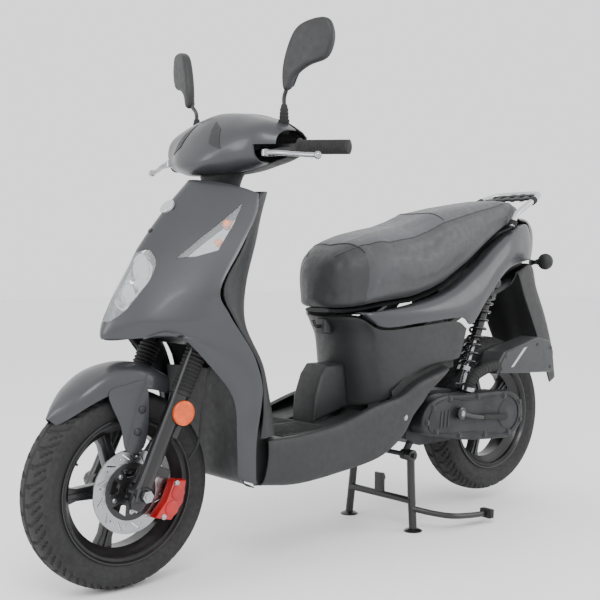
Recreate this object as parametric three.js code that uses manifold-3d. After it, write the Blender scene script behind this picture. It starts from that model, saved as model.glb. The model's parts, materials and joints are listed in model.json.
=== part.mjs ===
// Moped scooter on its centre stand. Millimetres, +X to the rear, +Y to the rider's right, +Z up.
// Shapes are laid out about the middle of the wheelbase, and the whole group is then moved so that
// the origin is the middle of the overall length, on the ground.
import * as THREE from "three";
import { mergeVertices } from "three/addons/utils/BufferGeometryUtils.js";
import Module from "manifold-3d";

const wasm = await Module();
wasm.setup();

// ---------------------------------------------------------------- driving dimensions
const OVERALL_LENGTH = 1830;
const WHEELBASE = 1290;
const FRONT = { x: -WHEELBASE / 2, z: 228, tyreRadius: 228, tyreWidth: 110 };
const REAR = { x: WHEELBASE / 2, z: 269, tyreRadius: 236, tyreWidth: 112 };
const RIM_SEAT_RADIUS = 152;
const RIM_FLANGE_RADIUS = 166;
const ORIGIN_SHIFT = -OVERALL_LENGTH / 2 - (FRONT.x - FRONT.tyreRadius);

const CASTER = THREE.MathUtils.degToRad(26.5);
const TRAIL = 86;
const STEER_GROUND_X = FRONT.x - TRAIL;
const FORK_OFFSET = -24.7; // the legs stand this far ahead of the steering axis
const AXLE_ALONG_FORK = 242.4; // from the ground point of the steering axis, along the axis
const LEG_SPREAD = 98; // centre plane to each fork leg

const SWING_PIVOT = { x: 150, z: 262 };
const STAND_PIVOT = { x: 216, z: 205 };
const KICK = { x: 351, z: 315 };
const SHOCK = { y: -84, low: { x: 455, z: 372 }, high: { x: 590, z: 672 } };
const BAR_END = { x: -245, y: 345, z: 998 };
const BAR_INNER = { x: -300, y: 228, z: 1003 };
const LEVER_PIVOT = { x: -366, y: 196, z: 988 };
const LEVER_TIP = { x: -331, y: 333, z: 975 };
const MIRROR_BASE = { x: -295, y: 174, z: 1066 };
const MIRROR_BALL = { x: -300, y: 196, z: 1150 };
const SKIN = 4; // wall of the plastic panels

// ---------------------------------------------------------------- finishes
const finish = (color, roughness, metalness = 0) =>
  new THREE.MeshStandardMaterial({ color, roughness, metalness });
const MAT = {
  paint: finish(0x3b3d42, 0.42, 0.35),
  panel: finish(0x17181a, 0.6),
  rubber: finish(0x101112, 0.85),
  tyre: finish(0x141516, 0.9),
  blackMetal: finish(0x121314, 0.4, 0.6),
  castGrey: finish(0x4b4d52, 0.5, 0.7),
  steel: finish(0xb9bcc0, 0.3, 1),
  vinyl: finish(0x55575d, 0.62),
  clear: finish(0xd9dde0, 0.1),
  amber: finish(0xd9822b, 0.3),
  red: finish(0xa01b1b, 0.35),
};

// ---------------------------------------------------------------- geometry helpers
const V = (x, y, z) => new THREE.Vector3(x, y, z);

function signedVolume(geometry) {
  const p = geometry.getAttribute("position");
  const index = geometry.index.array;
  const [a, b, c] = [V(), V(), V()];
  let sum = 0;
  for (let i = 0; i < index.length; i += 3) {
    a.fromBufferAttribute(p, index[i]);
    b.fromBufferAttribute(p, index[i + 1]);
    c.fromBufferAttribute(p, index[i + 2]);
    sum += a.dot(b.cross(c)) / 6;
  }
  return sum;
}

function flip(geometry) {
  const index = geometry.index.array;
  for (let i = 0; i < index.length; i += 3) {
    [index[i + 1], index[i + 2]] = [index[i + 2], index[i + 1]];
  }
  return geometry;
}

// Keeps only merged positions, with the faces pointing out.
function clean(source) {
  const geometry = new THREE.BufferGeometry();
  geometry.setAttribute("position", source.getAttribute("position").clone());
  if (source.index) geometry.setIndex(source.index.clone());
  const merged = mergeVertices(geometry, 1e-3);
  return signedVolume(merged) < 0 ? flip(merged) : merged;
}

function toManifold(geometry) {
  const g = clean(geometry);
  return new wasm.Manifold(
    new wasm.Mesh({
      numProp: 3,
      vertProperties: g.getAttribute("position").array,
      triVerts: new Uint32Array(g.index.array),
    }),
  );
}

function fromManifold(solid) {
  const mesh = solid.getMesh();
  const positions = new Float32Array(mesh.numVert * 3);
  for (let i = 0; i < mesh.numVert; i++) {
    const at = i * mesh.numProp;
    positions.set(mesh.vertProperties.subarray(at, at + 3), i * 3);
  }
  const geometry = new THREE.BufferGeometry();
  geometry.setAttribute("position", new THREE.BufferAttribute(positions, 3));
  geometry.setIndex(new THREE.BufferAttribute(mesh.triVerts, 1));
  return geometry;
}

const join = (first, ...rest) =>
  fromManifold(rest.reduce((sum, g) => sum.add(toManifold(g)), toManifold(first)));
const cut = (first, ...rest) =>
  fromManifold(rest.reduce((sum, g) => sum.subtract(toManifold(g)), toManifold(first)));
const common = (a, b) => fromManifold(toManifold(a).intersect(toManifold(b)));

// The largest connected piece, so that a cut leaves no loose slivers.
function mainPiece(geometry) {
  const pieces = toManifold(geometry).decompose();
  return fromManifold(pieces.sort((a, b) => b.volume() - a.volume())[0]);
}

const mirrored = (geometry) => clean(geometry.clone().scale(1, -1, 1));
const bothSides = (half) => join(half, mirrored(half));
const box = (sx, sy, sz, x, y, z) => new THREE.BoxGeometry(sx, sy, sz).translate(x, y, z);

// A round bar from a to b, with its own radius at each end.
function rod(a, b, radius, sides = 10, endRadius = radius) {
  const along = b.clone().sub(a);
  const turn = new THREE.Quaternion().setFromUnitVectors(V(0, 1, 0), along.clone().normalize());
  return new THREE.CylinderGeometry(endRadius, radius, along.length(), sides)
    .applyQuaternion(turn)
    .translate((a.x + b.x) / 2, (a.y + b.y) / 2, (a.z + b.z) / 2);
}

const crossRod = (x, z, y0, y1, radius, sides = 12, endRadius = radius) =>
  rod(V(x, y0, z), V(x, y1, z), radius, sides, endRadius);

// A bent tube through the points.
function bentTube(points, radius, sides = 8, steps = points.length * 2) {
  const section = new THREE.Shape();
  section.absarc(0, 0, radius, 0, Math.PI * 2);
  const path = new THREE.CatmullRomCurve3(points.map((p) => V(...p)), false, "centripetal");
  return clean(
    new THREE.ExtrudeGeometry(section, { extrudePath: path, steps, curveSegments: sides / 2 }),
  );
}

// A ring about the Y axis from a closed profile of [radius, y] points.
function ring(profile, segments, x = 0, z = 0) {
  const points = [...profile, profile[0]].map(([r, y]) => new THREE.Vector2(r, y));
  return clean(new THREE.LatheGeometry(points, segments)).translate(x, 0, z);
}

// A flat outline of [x, z] points, given thickness from y0 to y1.
function plateXZ(outline, y0, y1) {
  const shape = new THREE.Shape(outline.map(([x, z]) => new THREE.Vector2(x, z)));
  return clean(
    new THREE.ExtrudeGeometry(shape, { depth: y1 - y0, bevelEnabled: false })
      .rotateX(Math.PI / 2)
      .translate(0, y1, 0),
  );
}

// A flat outline of [y, z] points, run from x0 to x1.
function prismYZ(outline, x0, x1) {
  const shape = new THREE.Shape(outline.map(([y, z]) => new THREE.Vector2(y, z)));
  const g = new THREE.ExtrudeGeometry(shape, { depth: x1 - x0, bevelEnabled: false });
  const p = g.getAttribute("position");
  for (let i = 0; i < p.count; i++) p.setXYZ(i, p.getZ(i) + x0, p.getX(i), p.getY(i));
  return clean(g);
}

// A point at t, 0 to 1, on a smooth line through the points.
function along(points, t) {
  const last = points.length - 1;
  const i = Math.min(Math.floor(t * last), last - 1);
  const f = t * last - i;
  const get = (k) =>
    k < 0
      ? points[0].clone().multiplyScalar(2).sub(points[1])
      : k > last
        ? points[last].clone().multiplyScalar(2).sub(points[last - 1])
        : points[k];
  const [a, b, c, d] = [get(i - 1), get(i), get(i + 1), get(i + 2)];
  const out = V(0, 0, 0);
  out.addScaledVector(a, -0.5 * f + f * f - 0.5 * f ** 3);
  out.addScaledVector(b, 1 - 2.5 * f * f + 1.5 * f ** 3);
  out.addScaledVector(c, 0.5 * f + 2 * f * f - 1.5 * f ** 3);
  return out.addScaledVector(d, -0.5 * f * f + 0.5 * f ** 3);
}

// The net's points, with `finer` steps to each of its own.
function smoothed(net, finer) {
  const rows = net.map((row) => row.map((p) => V(...p)));
  const columns = (rows[0].length - 1) * finer;
  const wide = rows.map((row) =>
    Array.from({ length: columns + 1 }, (_, j) => along(row, j / columns)),
  );
  const lines = (rows.length - 1) * finer;
  return Array.from({ length: lines + 1 }, (_, i) =>
    wide[0].map((_, j) => along(wide.map((row) => row[j]), i / lines)),
  );
}

// A moulded panel: the surface through the net, with a wall on the side where `core` is.
function panel(net, core, { wall = SKIN, finer = 1 } = {}) {
  const outer = smoothed(net, finer);
  const [m, n] = [outer.length, outer[0].length];
  const normal = (i, j) => {
    const down = outer[Math.min(i + 1, m - 1)][j].clone().sub(outer[Math.max(i - 1, 0)][j]);
    const side = outer[i][Math.min(j + 1, n - 1)].clone().sub(outer[i][Math.max(j - 1, 0)]);
    return down.cross(side).normalize();
  };
  const middle = outer[m >> 1][n >> 1];
  const outward = normal(m >> 1, n >> 1).dot(V(...core).sub(middle)) > 0 ? -1 : 1;
  const inner = outer.map((row, i) =>
    row.map((p, j) => p.clone().addScaledVector(normal(i, j), -wall * outward)),
  );
  const positions = [...outer.flat(), ...inner.flat()].flatMap((p) => [p.x, p.y, p.z]);
  const index = [];
  const quad = (a, b, c, d) => index.push(a, b, c, a, c, d);
  const at = (layer, i, j) => layer * m * n + i * n + j;
  for (let i = 0; i < m - 1; i++) {
    for (let j = 0; j < n - 1; j++) {
      quad(at(0, i, j), at(0, i + 1, j), at(0, i + 1, j + 1), at(0, i, j + 1));
      quad(at(1, i, j), at(1, i, j + 1), at(1, i + 1, j + 1), at(1, i + 1, j));
    }
  }
  for (let i = 0; i < m - 1; i++) {
    quad(at(0, i, 0), at(1, i, 0), at(1, i + 1, 0), at(0, i + 1, 0));
    quad(at(0, i + 1, n - 1), at(1, i + 1, n - 1), at(1, i, n - 1), at(0, i, n - 1));
  }
  for (let j = 0; j < n - 1; j++) {
    quad(at(0, 0, j + 1), at(1, 0, j + 1), at(1, 0, j), at(0, 0, j));
    quad(at(0, m - 1, j), at(1, m - 1, j), at(1, m - 1, j + 1), at(0, m - 1, j + 1));
  }
  const geometry = new THREE.BufferGeometry();
  geometry.setAttribute("position", new THREE.Float32BufferAttribute(positions, 3));
  geometry.setIndex(index);
  return clean(geometry);
}

// A solid through closed rings of equal point count, capped at both ends.
function loft(rings) {
  const n = rings[0].length;
  const middle = (r) => r.reduce((s, p) => s.add(p), V(0, 0, 0)).divideScalar(n);
  const points = [...rings.flat(), middle(rings[0]), middle(rings[rings.length - 1])];
  const index = [];
  for (let i = 0; i < rings.length - 1; i++) {
    for (let j = 0; j < n; j++) {
      const [a, b] = [i * n + j, i * n + ((j + 1) % n)];
      index.push(a, b, b + n, a, b + n, a + n);
    }
  }
  const [low, high] = [rings.length * n, rings.length * n + 1];
  for (let j = 0; j < n; j++) {
    index.push(low, (j + 1) % n, j);
    index.push(high, (rings.length - 1) * n + j, (rings.length - 1) * n + ((j + 1) % n));
  }
  const geometry = new THREE.BufferGeometry();
  const flat = points.flatMap((p) => [p.x, p.y, p.z]);
  geometry.setAttribute("position", new THREE.Float32BufferAttribute(flat, 3));
  geometry.setIndex(index);
  return clean(geometry);
}

// A rounded-square ring of points, square to X.
function softRing(x, halfWidth, low, high, points = 14, squareness = 0.62, below = squareness) {
  return Array.from({ length: points }, (_, i) => {
    const a = (i / points) * Math.PI * 2;
    const power = Math.sin(a) < 0 ? below : squareness;
    const grow = (v) => Math.sign(v) * Math.abs(v) ** power;
    return V(
      x,
      halfWidth * grow(Math.cos(a)),
      (low + high) / 2 + ((high - low) / 2) * grow(Math.sin(a)),
    );
  });
}

// ---------------------------------------------------------------- the group and its frames
const scooter = new THREE.Group();
scooter.position.x = ORIGIN_SHIFT;

// The fork's own frame: local Z runs up the steering axis from the ground.
const fork = new THREE.Group();
fork.position.set(STEER_GROUND_X, 0, 0);
fork.rotation.y = CASTER;
scooter.add(fork);

function add(name, geometry, material, parent = scooter) {
  const mesh = new THREE.Mesh(clean(geometry), material);
  mesh.name = name;
  parent.add(mesh);
}

// ---------------------------------------------------------------- wheels
function tyre(radius, width, segments = 24) {
  const half = width / 2;
  return ring(
    [
      [152.4, -44.6],
      [168, -45.6],
      [192, -half],
      [radius - 18, -half + 4],
      [radius - 4, -half * 0.55],
      [radius, 0],
      [radius - 4, half * 0.55],
      [radius - 18, half - 4],
      [192, half],
      [168, 45.6],
      [152.4, 44.6],
      [156, 34],
      [196, half - 14],
      [radius - 12, 0],
      [196, -half + 14],
      [156, -34],
    ],
    segments,
  );
}

function castRim(hubHalf, bore) {
  const half = 46;
  const band = ring(
    [
      [RIM_FLANGE_RADIUS, -half - 5],
      [RIM_FLANGE_RADIUS, -half],
      [RIM_SEAT_RADIUS, -half + 1],
      [RIM_SEAT_RADIUS, -32],
      [140, -20],
      [140, 20],
      [RIM_SEAT_RADIUS, 32],
      [RIM_SEAT_RADIUS, half - 1],
      [RIM_FLANGE_RADIUS, half],
      [RIM_FLANGE_RADIUS, half + 5],
      [146, 30],
      [133, 18],
      [133, -18],
      [146, -30],
    ],
    24,
  );
  const spokes = Array.from({ length: 5 }, (_, i) => {
    const spoke = new THREE.CylinderGeometry(17, 21, 108, 4, 1)
      .rotateY(Math.PI / 4)
      .scale(1, 1, 0.8)
      .translate(0, 84, 0);
    // standing spoke along local Y, then laid in the wheel's plane
    return spoke.rotateX(Math.PI / 2).rotateY(THREE.MathUtils.degToRad(108 + 72 * i - 90));
  });
  const hub = crossRod(0, 0, -hubHalf, hubHalf, 36, 20);
  return cut(join(band, hub, ...spokes), crossRod(0, 0, -hubHalf - 1, hubHalf + 1, bore, 16));
}

const frontWheel = new THREE.Group();
frontWheel.position.set(FRONT.x, 0, FRONT.z);
scooter.add(frontWheel);
add("front_tyre", tyre(FRONT.tyreRadius, FRONT.tyreWidth), MAT.tyre, frontWheel);
add("front_rim", castRim(52, 8.5), MAT.blackMetal, frontWheel);

function brakeDisc() {
  return ring([[95, -59], [95, -55], [20, -55], [20, -59]], 28);
}
add("brake_disc", brakeDisc(), MAT.steel, frontWheel);

const rearWheel = new THREE.Group();
rearWheel.position.set(REAR.x, 0, REAR.z);
scooter.add(rearWheel);
add("rear_tyre", tyre(REAR.tyreRadius, REAR.tyreWidth), MAT.tyre, rearWheel);
add("rear_rim", castRim(54, 8.6), MAT.blackMetal, rearWheel);

// ---------------------------------------------------------------- fork, in the fork's own frame
const CROWN = { low: 612, high: 648 };
const LEG = { bottom: 206, top: 505, radius: 21, bore: 16.2 };
const STANCHION_RADIUS = 15.6;

function forkLeg(side) {
  const y = side * LEG_SPREAD;
  const axleEye = rod(
    V(FORK_OFFSET, y - side * 24, AXLE_ALONG_FORK),
    V(FORK_OFFSET, y + side * 22, AXLE_ALONG_FORK),
    20,
    16,
  );
  const leg = rod(V(FORK_OFFSET, y, LEG.bottom), V(FORK_OFFSET, y, LEG.top), LEG.radius, 14);
  const bore = rod(V(FORK_OFFSET, y, 262), V(FORK_OFFSET, y, LEG.top + 2), LEG.bore, 14);
  const lug = box(26, 26, 34, FORK_OFFSET + 22, y - side * 6, 400);
  const axleHole = crossRod(FORK_OFFSET, AXLE_ALONG_FORK, y - 40, y + 40, 8.2);
  return cut(join(leg, axleEye, lug), bore, axleHole);
}
add("fork_leg_left", forkLeg(-1), MAT.blackMetal, fork);
add("fork_leg_right", forkLeg(1), MAT.blackMetal, fork);

function forkUpper() {
  const plate = box(64, 2 * LEG_SPREAD + 44, CROWN.high - CROWN.low, FORK_OFFSET / 2 - 4, 0, 630);
  const stem = rod(V(0, 0, CROWN.low + 2), V(0, 0, 900), 14, 14);
  const tubes = [-1, 1].map((s) => {
    const low = V(FORK_OFFSET, s * LEG_SPREAD, 336);
    const high = V(FORK_OFFSET, s * LEG_SPREAD, CROWN.high - 2);
    return rod(low, high, STANCHION_RADIUS, 14);
  });
  return join(plate, stem, ...tubes);
}
add("fork_upper", forkUpper(), MAT.blackMetal, fork);

function axle() {
  const shaft = crossRod(FORK_OFFSET, AXLE_ALONG_FORK, -134, 134, 7.9, 16);
  const nuts = [-1, 1].map((s) =>
    crossRod(FORK_OFFSET, AXLE_ALONG_FORK, s * 121, s * 132, 14, 6),
  );
  const spacers = [-1, 1].map((s) =>
    crossRod(FORK_OFFSET, AXLE_ALONG_FORK, s * 60, s * 73.6, 11, 12),
  );
  return join(shaft, ...nuts, ...spacers);
}
add("front_axle", axle(), MAT.steel, fork);

function caliper() {
  const body = plateXZ([[38, 205], [84, 214], [98, 262], [84, 312], [50, 300], [52, 250]], -94, -42);
  const slot = plateXZ([[0, 190], [92, 190], [92, 330], [0, 330]], -62.5, -51.5);
  const arm = box(46, 12, 26, 18, -74, 306);
  const legClear = rod(V(FORK_OFFSET, -LEG_SPREAD, 190), V(FORK_OFFSET, -LEG_SPREAD, 500), 22.5, 16);
  const tyreClear = tyreSweepInForkFrame();
  return mainPiece(cut(join(body, arm), slot, legClear, tyreClear));
}

// The space the front wheel turns in, seen from the fork's frame, without the disc.
function tyreSweepInForkFrame() {
  return crossRod(FORK_OFFSET, AXLE_ALONG_FORK, -50, 62, FRONT.tyreRadius + 4, 32);
}
add("brake_caliper", caliper(), MAT.red, fork);

// Front mudguard, over the tyre from its pointed tip to just behind the fork.
// Each row: angle about the axle, crown radius, half width, and how far the side hangs down.
const FRONT_GUARD = [
  [135, 250, 16, 8],
  [127, 258, 42, 16],
  [116, 270, 60, 26],
  [103, 283, 68, 36],
  [90, 290, 70, 42],
  [78, 289, 68, 40],
  [66, 282, 64, 30],
];

function frontMudguard() {
  const rows = FRONT_GUARD.map(([degrees, crown, half, drop]) => {
    const angle = THREE.MathUtils.degToRad(degrees);
    const spot = (radius, y) => [
      FRONT.x + radius * Math.cos(angle),
      y,
      FRONT.z + radius * Math.sin(angle),
    ];
    return [
      spot(crown, 1),
      spot(crown - 4, -half * 0.5),
      spot(crown - 15, -half * 0.88),
      spot(crown - 15 - drop, -half - 2),
    ];
  });
  const guard = panel(rows, [FRONT.x, 0, FRONT.z], { wall: 3 });
  const wing = plateXZ(
    [[-706, 452], [-612, 470], [-604, 400], [-618, 326], [-662, 322], [-676, 378]],
    -72,
    -68,
  );
  return bothSides(join(guard, wing));
}
add("front_mudguard", frontMudguard(), MAT.paint);

// ---------------------------------------------------------------- handlebar and its covers
const side = (p, s) => [p.x, s * p.y, p.z];

function handlebar() {
  const half = [
    [BAR_END.x - 1, -BAR_END.y + 3, BAR_END.z],
    [BAR_INNER.x, -BAR_INNER.y, BAR_INNER.z],
    [-322, -180, 1002],
    [-338, -110, 990],
    [-336, -40, 972],
  ];
  const mirroredHalf = half.map(([x, y, z]) => [x, -y, z]).reverse();
  const bar = bentTube([...half, ...mirroredHalf], 10.5, 8, 18);
  const post = rod(V(-338, 0, 790), V(-336, 0, 972), 21, 14);
  return join(bar, post);
}
const onSteeringAxis = (u) => [STEER_GROUND_X + u * Math.sin(CASTER), 0, u * Math.cos(CASTER)];
const stemSocket = rod(V(...onSteeringAxis(600)), V(...onSteeringAxis(905)), 14.5, 16);
add("handlebar", cut(handlebar(), stemSocket), MAT.blackMetal);

function grip(s, length0 = 0, radius = 16.5) {
  const outer = V(...side(BAR_END, s));
  const inner = V(...side(BAR_INNER, s));
  const direction = outer.clone().sub(inner).normalize();
  const start = inner.clone().addScaledVector(direction, length0);
  const sleeve = join(
    rod(start, outer, radius, 16),
    rod(start, start.clone().addScaledVector(direction, 5), radius + 4, 16),
  );
  const bore = rod(
    inner.clone().addScaledVector(direction, -20),
    outer.clone().addScaledVector(direction, -2.2),
    11.2,
    16,
  );
  return cut(sleeve, bore);
}
add("grip_left", grip(-1, 4), MAT.rubber);
add("throttle_grip", grip(1, 4), MAT.rubber);

function brakeLever(s) {
  const pivot = V(LEVER_PIVOT.x, s * LEVER_PIVOT.y, LEVER_PIVOT.z);
  const blade = bentTube(
    [
      [LEVER_PIVOT.x + 2, s * (LEVER_PIVOT.y + 4), LEVER_PIVOT.z],
      [LEVER_PIVOT.x + 8, s * (LEVER_PIVOT.y + 46), LEVER_PIVOT.z - 3],
      [LEVER_PIVOT.x + 26, s * (LEVER_PIVOT.y + 96), LEVER_PIVOT.z - 9],
      side(LEVER_TIP, s),
    ],
    6,
    6,
    7,
  );
  const knob = new THREE.SphereGeometry(9, 8, 6).translate(...side(LEVER_TIP, s));
  const eye = rod(pivot.clone().add(V(0, 0, -8)), pivot.clone().add(V(0, 0, 8)), 11, 12);
  return join(blade, knob, eye);
}
add("brake_lever_left", brakeLever(-1), MAT.steel);
add("brake_lever_right", brakeLever(1), MAT.steel);

// Sections of the cowl from the centre plane out to its end, front edge first, as [x, z] pairs.
const COWL_STATIONS = [-1, 60, 120, 172, 214];
const COWL_FRONT = [
  [[-292, 1101], [-352, 1096], [-400, 1066], [-430, 1020], [-447, 968], [-420, 946], [-368, 946]],
  [[-290, 1097], [-350, 1090], [-394, 1062], [-424, 1020], [-438, 974], [-408, 950], [-362, 948]],
  [[-288, 1082], [-345, 1078], [-384, 1056], [-404, 1024], [-408, 986], [-384, 960], [-344, 956]],
  [[-288, 1066], [-338, 1064], [-372, 1046], [-386, 1020], [-384, 990], [-368, 970], [-338, 966]],
  [[-290, 1044], [-322, 1042], [-344, 1030], [-352, 1012], [-350, 992], [-340, 980], [-324, 976]],
];
const COWL_REAR = [
  [[-284, 1101], [-246, 1088], [-218, 1052], [-214, 1010], [-240, 968], [-290, 952], [-344, 948]],
  [[-282, 1097], [-246, 1084], [-220, 1050], [-216, 1010], [-242, 970], [-290, 954], [-342, 950]],
  [[-280, 1082], [-250, 1070], [-228, 1044], [-226, 1010], [-246, 978], [-290, 962], [-336, 958]],
  [[-280, 1066], [-258, 1056], [-242, 1036], [-240, 1010], [-254, 984], [-290, 970], [-330, 968]],
  [[-282, 1044], [-268, 1038], [-258, 1024], [-258, 1006], [-266, 990], [-290, 980], [-316, 978]],
];

function cowl(sections) {
  const rows = COWL_STATIONS.map((y, i) => sections[i].map(([x, z]) => [x, -y, z]));
  return bothSides(panel(rows, [-310, -60, 1010], { wall: 3 }));
}

// Where the lever leaves the cowl at each end, a pocket opens forwards.
const leverPocket = (s) => box(96, 92, 44, LEVER_PIVOT.x - 6, s * (LEVER_PIVOT.y + 22), 986);
const mirrorHole = (s) =>
  rod(V(MIRROR_BASE.x, s * MIRROR_BASE.y, 1030), V(MIRROR_BASE.x, s * MIRROR_BASE.y, 1110), 13);
add(
  "handlebar_cover_front",
  mainPiece(cut(cowl(COWL_FRONT), leverPocket(-1), leverPocket(1), mirrorHole(-1), mirrorHole(1))),
  MAT.paint,
);

const BUTTON_X = -244;
const buttons = {
  horn_button: { y: -186, z: 1002, r: 8 },
  starter_button: { y: 186, z: 1004, r: 8 },
  indicator_switch: { y: -186, z: 1030, r: 6 },
};
const buttonHole = ({ y, z, r }) => rod(V(-280, y, z), V(-200, y, z), r + 1, 14);
add(
  "handlebar_cover_rear",
  mainPiece(
    cut(
      cowl(COWL_REAR),
      mirrorHole(-1),
      mirrorHole(1),
      buttonHole(buttons.horn_button),
      buttonHole(buttons.starter_button),
      box(60, 34, 13, -244, buttons.indicator_switch.y, buttons.indicator_switch.z),
      rod(V(-338, 0, 900), V(-334, 0, 975), 26, 16),
    ),
  ),
  MAT.panel,
);
for (const [name, { y, z, r }] of Object.entries(buttons)) {
  add(name, rod(V(BUTTON_X - 18, y, z), V(BUTTON_X + 6, y, z), r, 14), MAT.panel);
}

// ---------------------------------------------------------------- mirrors
function mirrorStem(s) {
  const bootLow = V(MIRROR_BASE.x, s * MIRROR_BASE.y, 1036);
  const bootHigh = V(MIRROR_BASE.x, s * (MIRROR_BASE.y + 2), 1106);
  const boot = rod(bootLow, bootHigh, 12, 10, 8);
  const arm = bentTube(
    [
      [MIRROR_BASE.x, s * (MIRROR_BASE.y + 2), 1100],
      [MIRROR_BASE.x - 1, s * (MIRROR_BASE.y + 3), 1122],
      [MIRROR_BALL.x + 1, s * (MIRROR_BALL.y - 8), 1138],
      side(MIRROR_BALL, s),
    ],
    5,
    6,
    5,
  );
  const ball = new THREE.SphereGeometry(8, 8, 6).translate(...side(MIRROR_BALL, s));
  return join(boot, arm, ball);
}

// The mirror's outline in its own plane: [outwards, up] from the ball.
const MIRROR_OUTLINE = [
  [-6, -10], [10, -10], [26, 18], [60, 38], [104, 50], [122, 78], [124, 112],
  [108, 140], [64, 140], [28, 124], [5, 84], [-8, 34],
];
function mirrorHead(s) {
  const shape = new THREE.Shape(MIRROR_OUTLINE.map(([u, v]) => new THREE.Vector2(u, v)));
  const plate = new THREE.ExtrudeGeometry(shape, {
    depth: 10,
    bevelEnabled: true,
    bevelThickness: 7,
    bevelSize: 4,
    bevelOffset: -4,
    bevelSegments: 1,
  });
  // local x outwards, local y up, local z to the rear
  const basis = new THREE.Matrix4().makeBasis(V(0.32, -0.947, 0), V(0, 0, 1), V(0.947, 0.32, 0));
  plate.applyMatrix4(basis).translate(MIRROR_BALL.x - 8, -MIRROR_BALL.y, MIRROR_BALL.z);
  const socket = new THREE.SphereGeometry(9.4, 10, 8).translate(...side(MIRROR_BALL, -1));
  const stemWay = rod(V(...side(MIRROR_BASE, -1)), V(...side(MIRROR_BALL, -1)), 13);
  const head = cut(clean(plate), socket, stemWay);
  return s < 0 ? head : mirrored(head);
}
for (const [s, name] of [[-1, "left"], [1, "right"]]) {
  add("mirror_stem_" + name, mirrorStem(s), MAT.blackMetal);
  add("mirror_head_" + name, mainPiece(mirrorHead(s)), MAT.panel);
}

// ---------------------------------------------------------------- front body
const SHIELD_NET = [
  [[-440, 1, 934], [-425, -32, 932], [-402, -78, 925], [-382, -130, 912], [-366, -168, 898]],
  [[-497, 1, 876], [-482, -30, 874], [-446, -82, 868], [-410, -140, 860], [-384, -182, 848]],
  [[-561, 1, 800], [-546, -32, 798], [-505, -88, 794], [-458, -146, 787], [-430, -187, 775]],
  [[-628, 1, 705], [-612, -34, 703], [-566, -90, 698], [-516, -146, 690], [-490, -186, 678]],
  [[-668, 1, 622], [-652, -36, 622], [-606, -92, 620], [-530, -148, 618], [-464, -187, 622]],
  [[-682, 1, 568], [-655, -44, 590], [-600, -98, 600], [-528, -146, 592], [-434, -188, 580]],
  [[-630, -66, 570], [-590, -104, 580], [-548, -132, 578], [-486, -162, 566], [-406, -188, 543]],
  [[-568, -122, 582], [-532, -142, 562], [-490, -160, 546], [-440, -176, 526], [-388, -188, 510]],
  [[-478, -150, 491], [-452, -165, 482], [-425, -178, 472], [-398, -186, 462], [-371, -188, 455]],
  [[-430, -158, 420], [-416, -172, 415], [-402, -182, 412], [-389, -187, 410], [-375, -189, 408]],
  [[-424, -160, 330], [-414, -173, 328], [-405, -183, 326], [-397, -188, 325], [-390, -189, 324]],
  [[-416, -152, 240], [-408, -164, 236], [-400, -173, 232], [-393, -178, 228], [-385, -181, 224]],
];
const shieldSkin = bothSides(panel(SHIELD_NET, [-250, -60, 600]));

const HEADLIGHT_OUTLINE = [
  [0, 604], [-22, 610], [-42, 634], [-56, 676], [-60, 712], [-52, 744], [-26, 768], [0, 762],
  [26, 768], [52, 744], [60, 712], [56, 676], [42, 634], [22, 610],
];
const INDICATOR_OUTLINE = [
  [-86, 748], [-118, 752], [-150, 766], [-152, 822], [-146, 874], [-116, 810],
];

// The outline with every point moved in towards its middle.
function shrunk(outline, by) {
  const sum = outline.reduce(([a, b], [y, z]) => [a + y, b + z], [0, 0]);
  const middle = sum.map((v) => v / outline.length);
  return outline.map(([y, z]) => {
    const d = Math.hypot(y - middle[0], z - middle[1]);
    return [y - ((y - middle[0]) * by) / d, z - ((z - middle[1]) * by) / d];
  });
}
const mirrorOutline = (outline) => outline.map(([y, z]) => [-y, z]).reverse();
const WINDOW = { front: -760, back: -330 };
const headlightWindow = (by) => prismYZ(shrunk(HEADLIGHT_OUTLINE, by), WINDOW.front, -480);
const indicatorWindow = (by) => prismYZ(shrunk(INDICATOR_OUTLINE, by), WINDOW.front, WINDOW.back);
const indicatorWindowRight = (by) =>
  prismYZ(mirrorOutline(shrunk(INDICATOR_OUTLINE, by)), WINDOW.front, WINDOW.back);

add(
  "front_shield",
  mainPiece(cut(shieldSkin, headlightWindow(0), indicatorWindow(0), indicatorWindowRight(0))),
  MAT.paint,
);
add("headlight_lens", mainPiece(common(shieldSkin, headlightWindow(1.2))), MAT.clear);
add("front_indicator_left", mainPiece(common(shieldSkin, indicatorWindow(1.2))), MAT.clear);
add("front_indicator_right", mainPiece(common(shieldSkin, indicatorWindowRight(1.2))), MAT.clear);

// Reflector bowl behind the lens, open to the front.
function headlightHousing() {
  const rings = [[-628, 40, 628, 742], [-585, 52, 640, 752], [-545, 40, 662, 742], [-520, 22, 690, 726]];
  const grown = (by) => {
    const ahead = by < 0 ? 6 : 0; // the hollow runs out through the front
    return loft(
      rings.map(([x, w, low, high]) => softRing(x - ahead, w + by, low - by, high + by, 12, 0.8)),
    );
  };
  const clearance = bothSides(panel(SHIELD_NET, [-250, -60, 600], { wall: 9 }));
  return mainPiece(cut(grown(0), grown(-4), clearance));
}
add("headlight_housing", headlightHousing(), MAT.steel);

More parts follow.
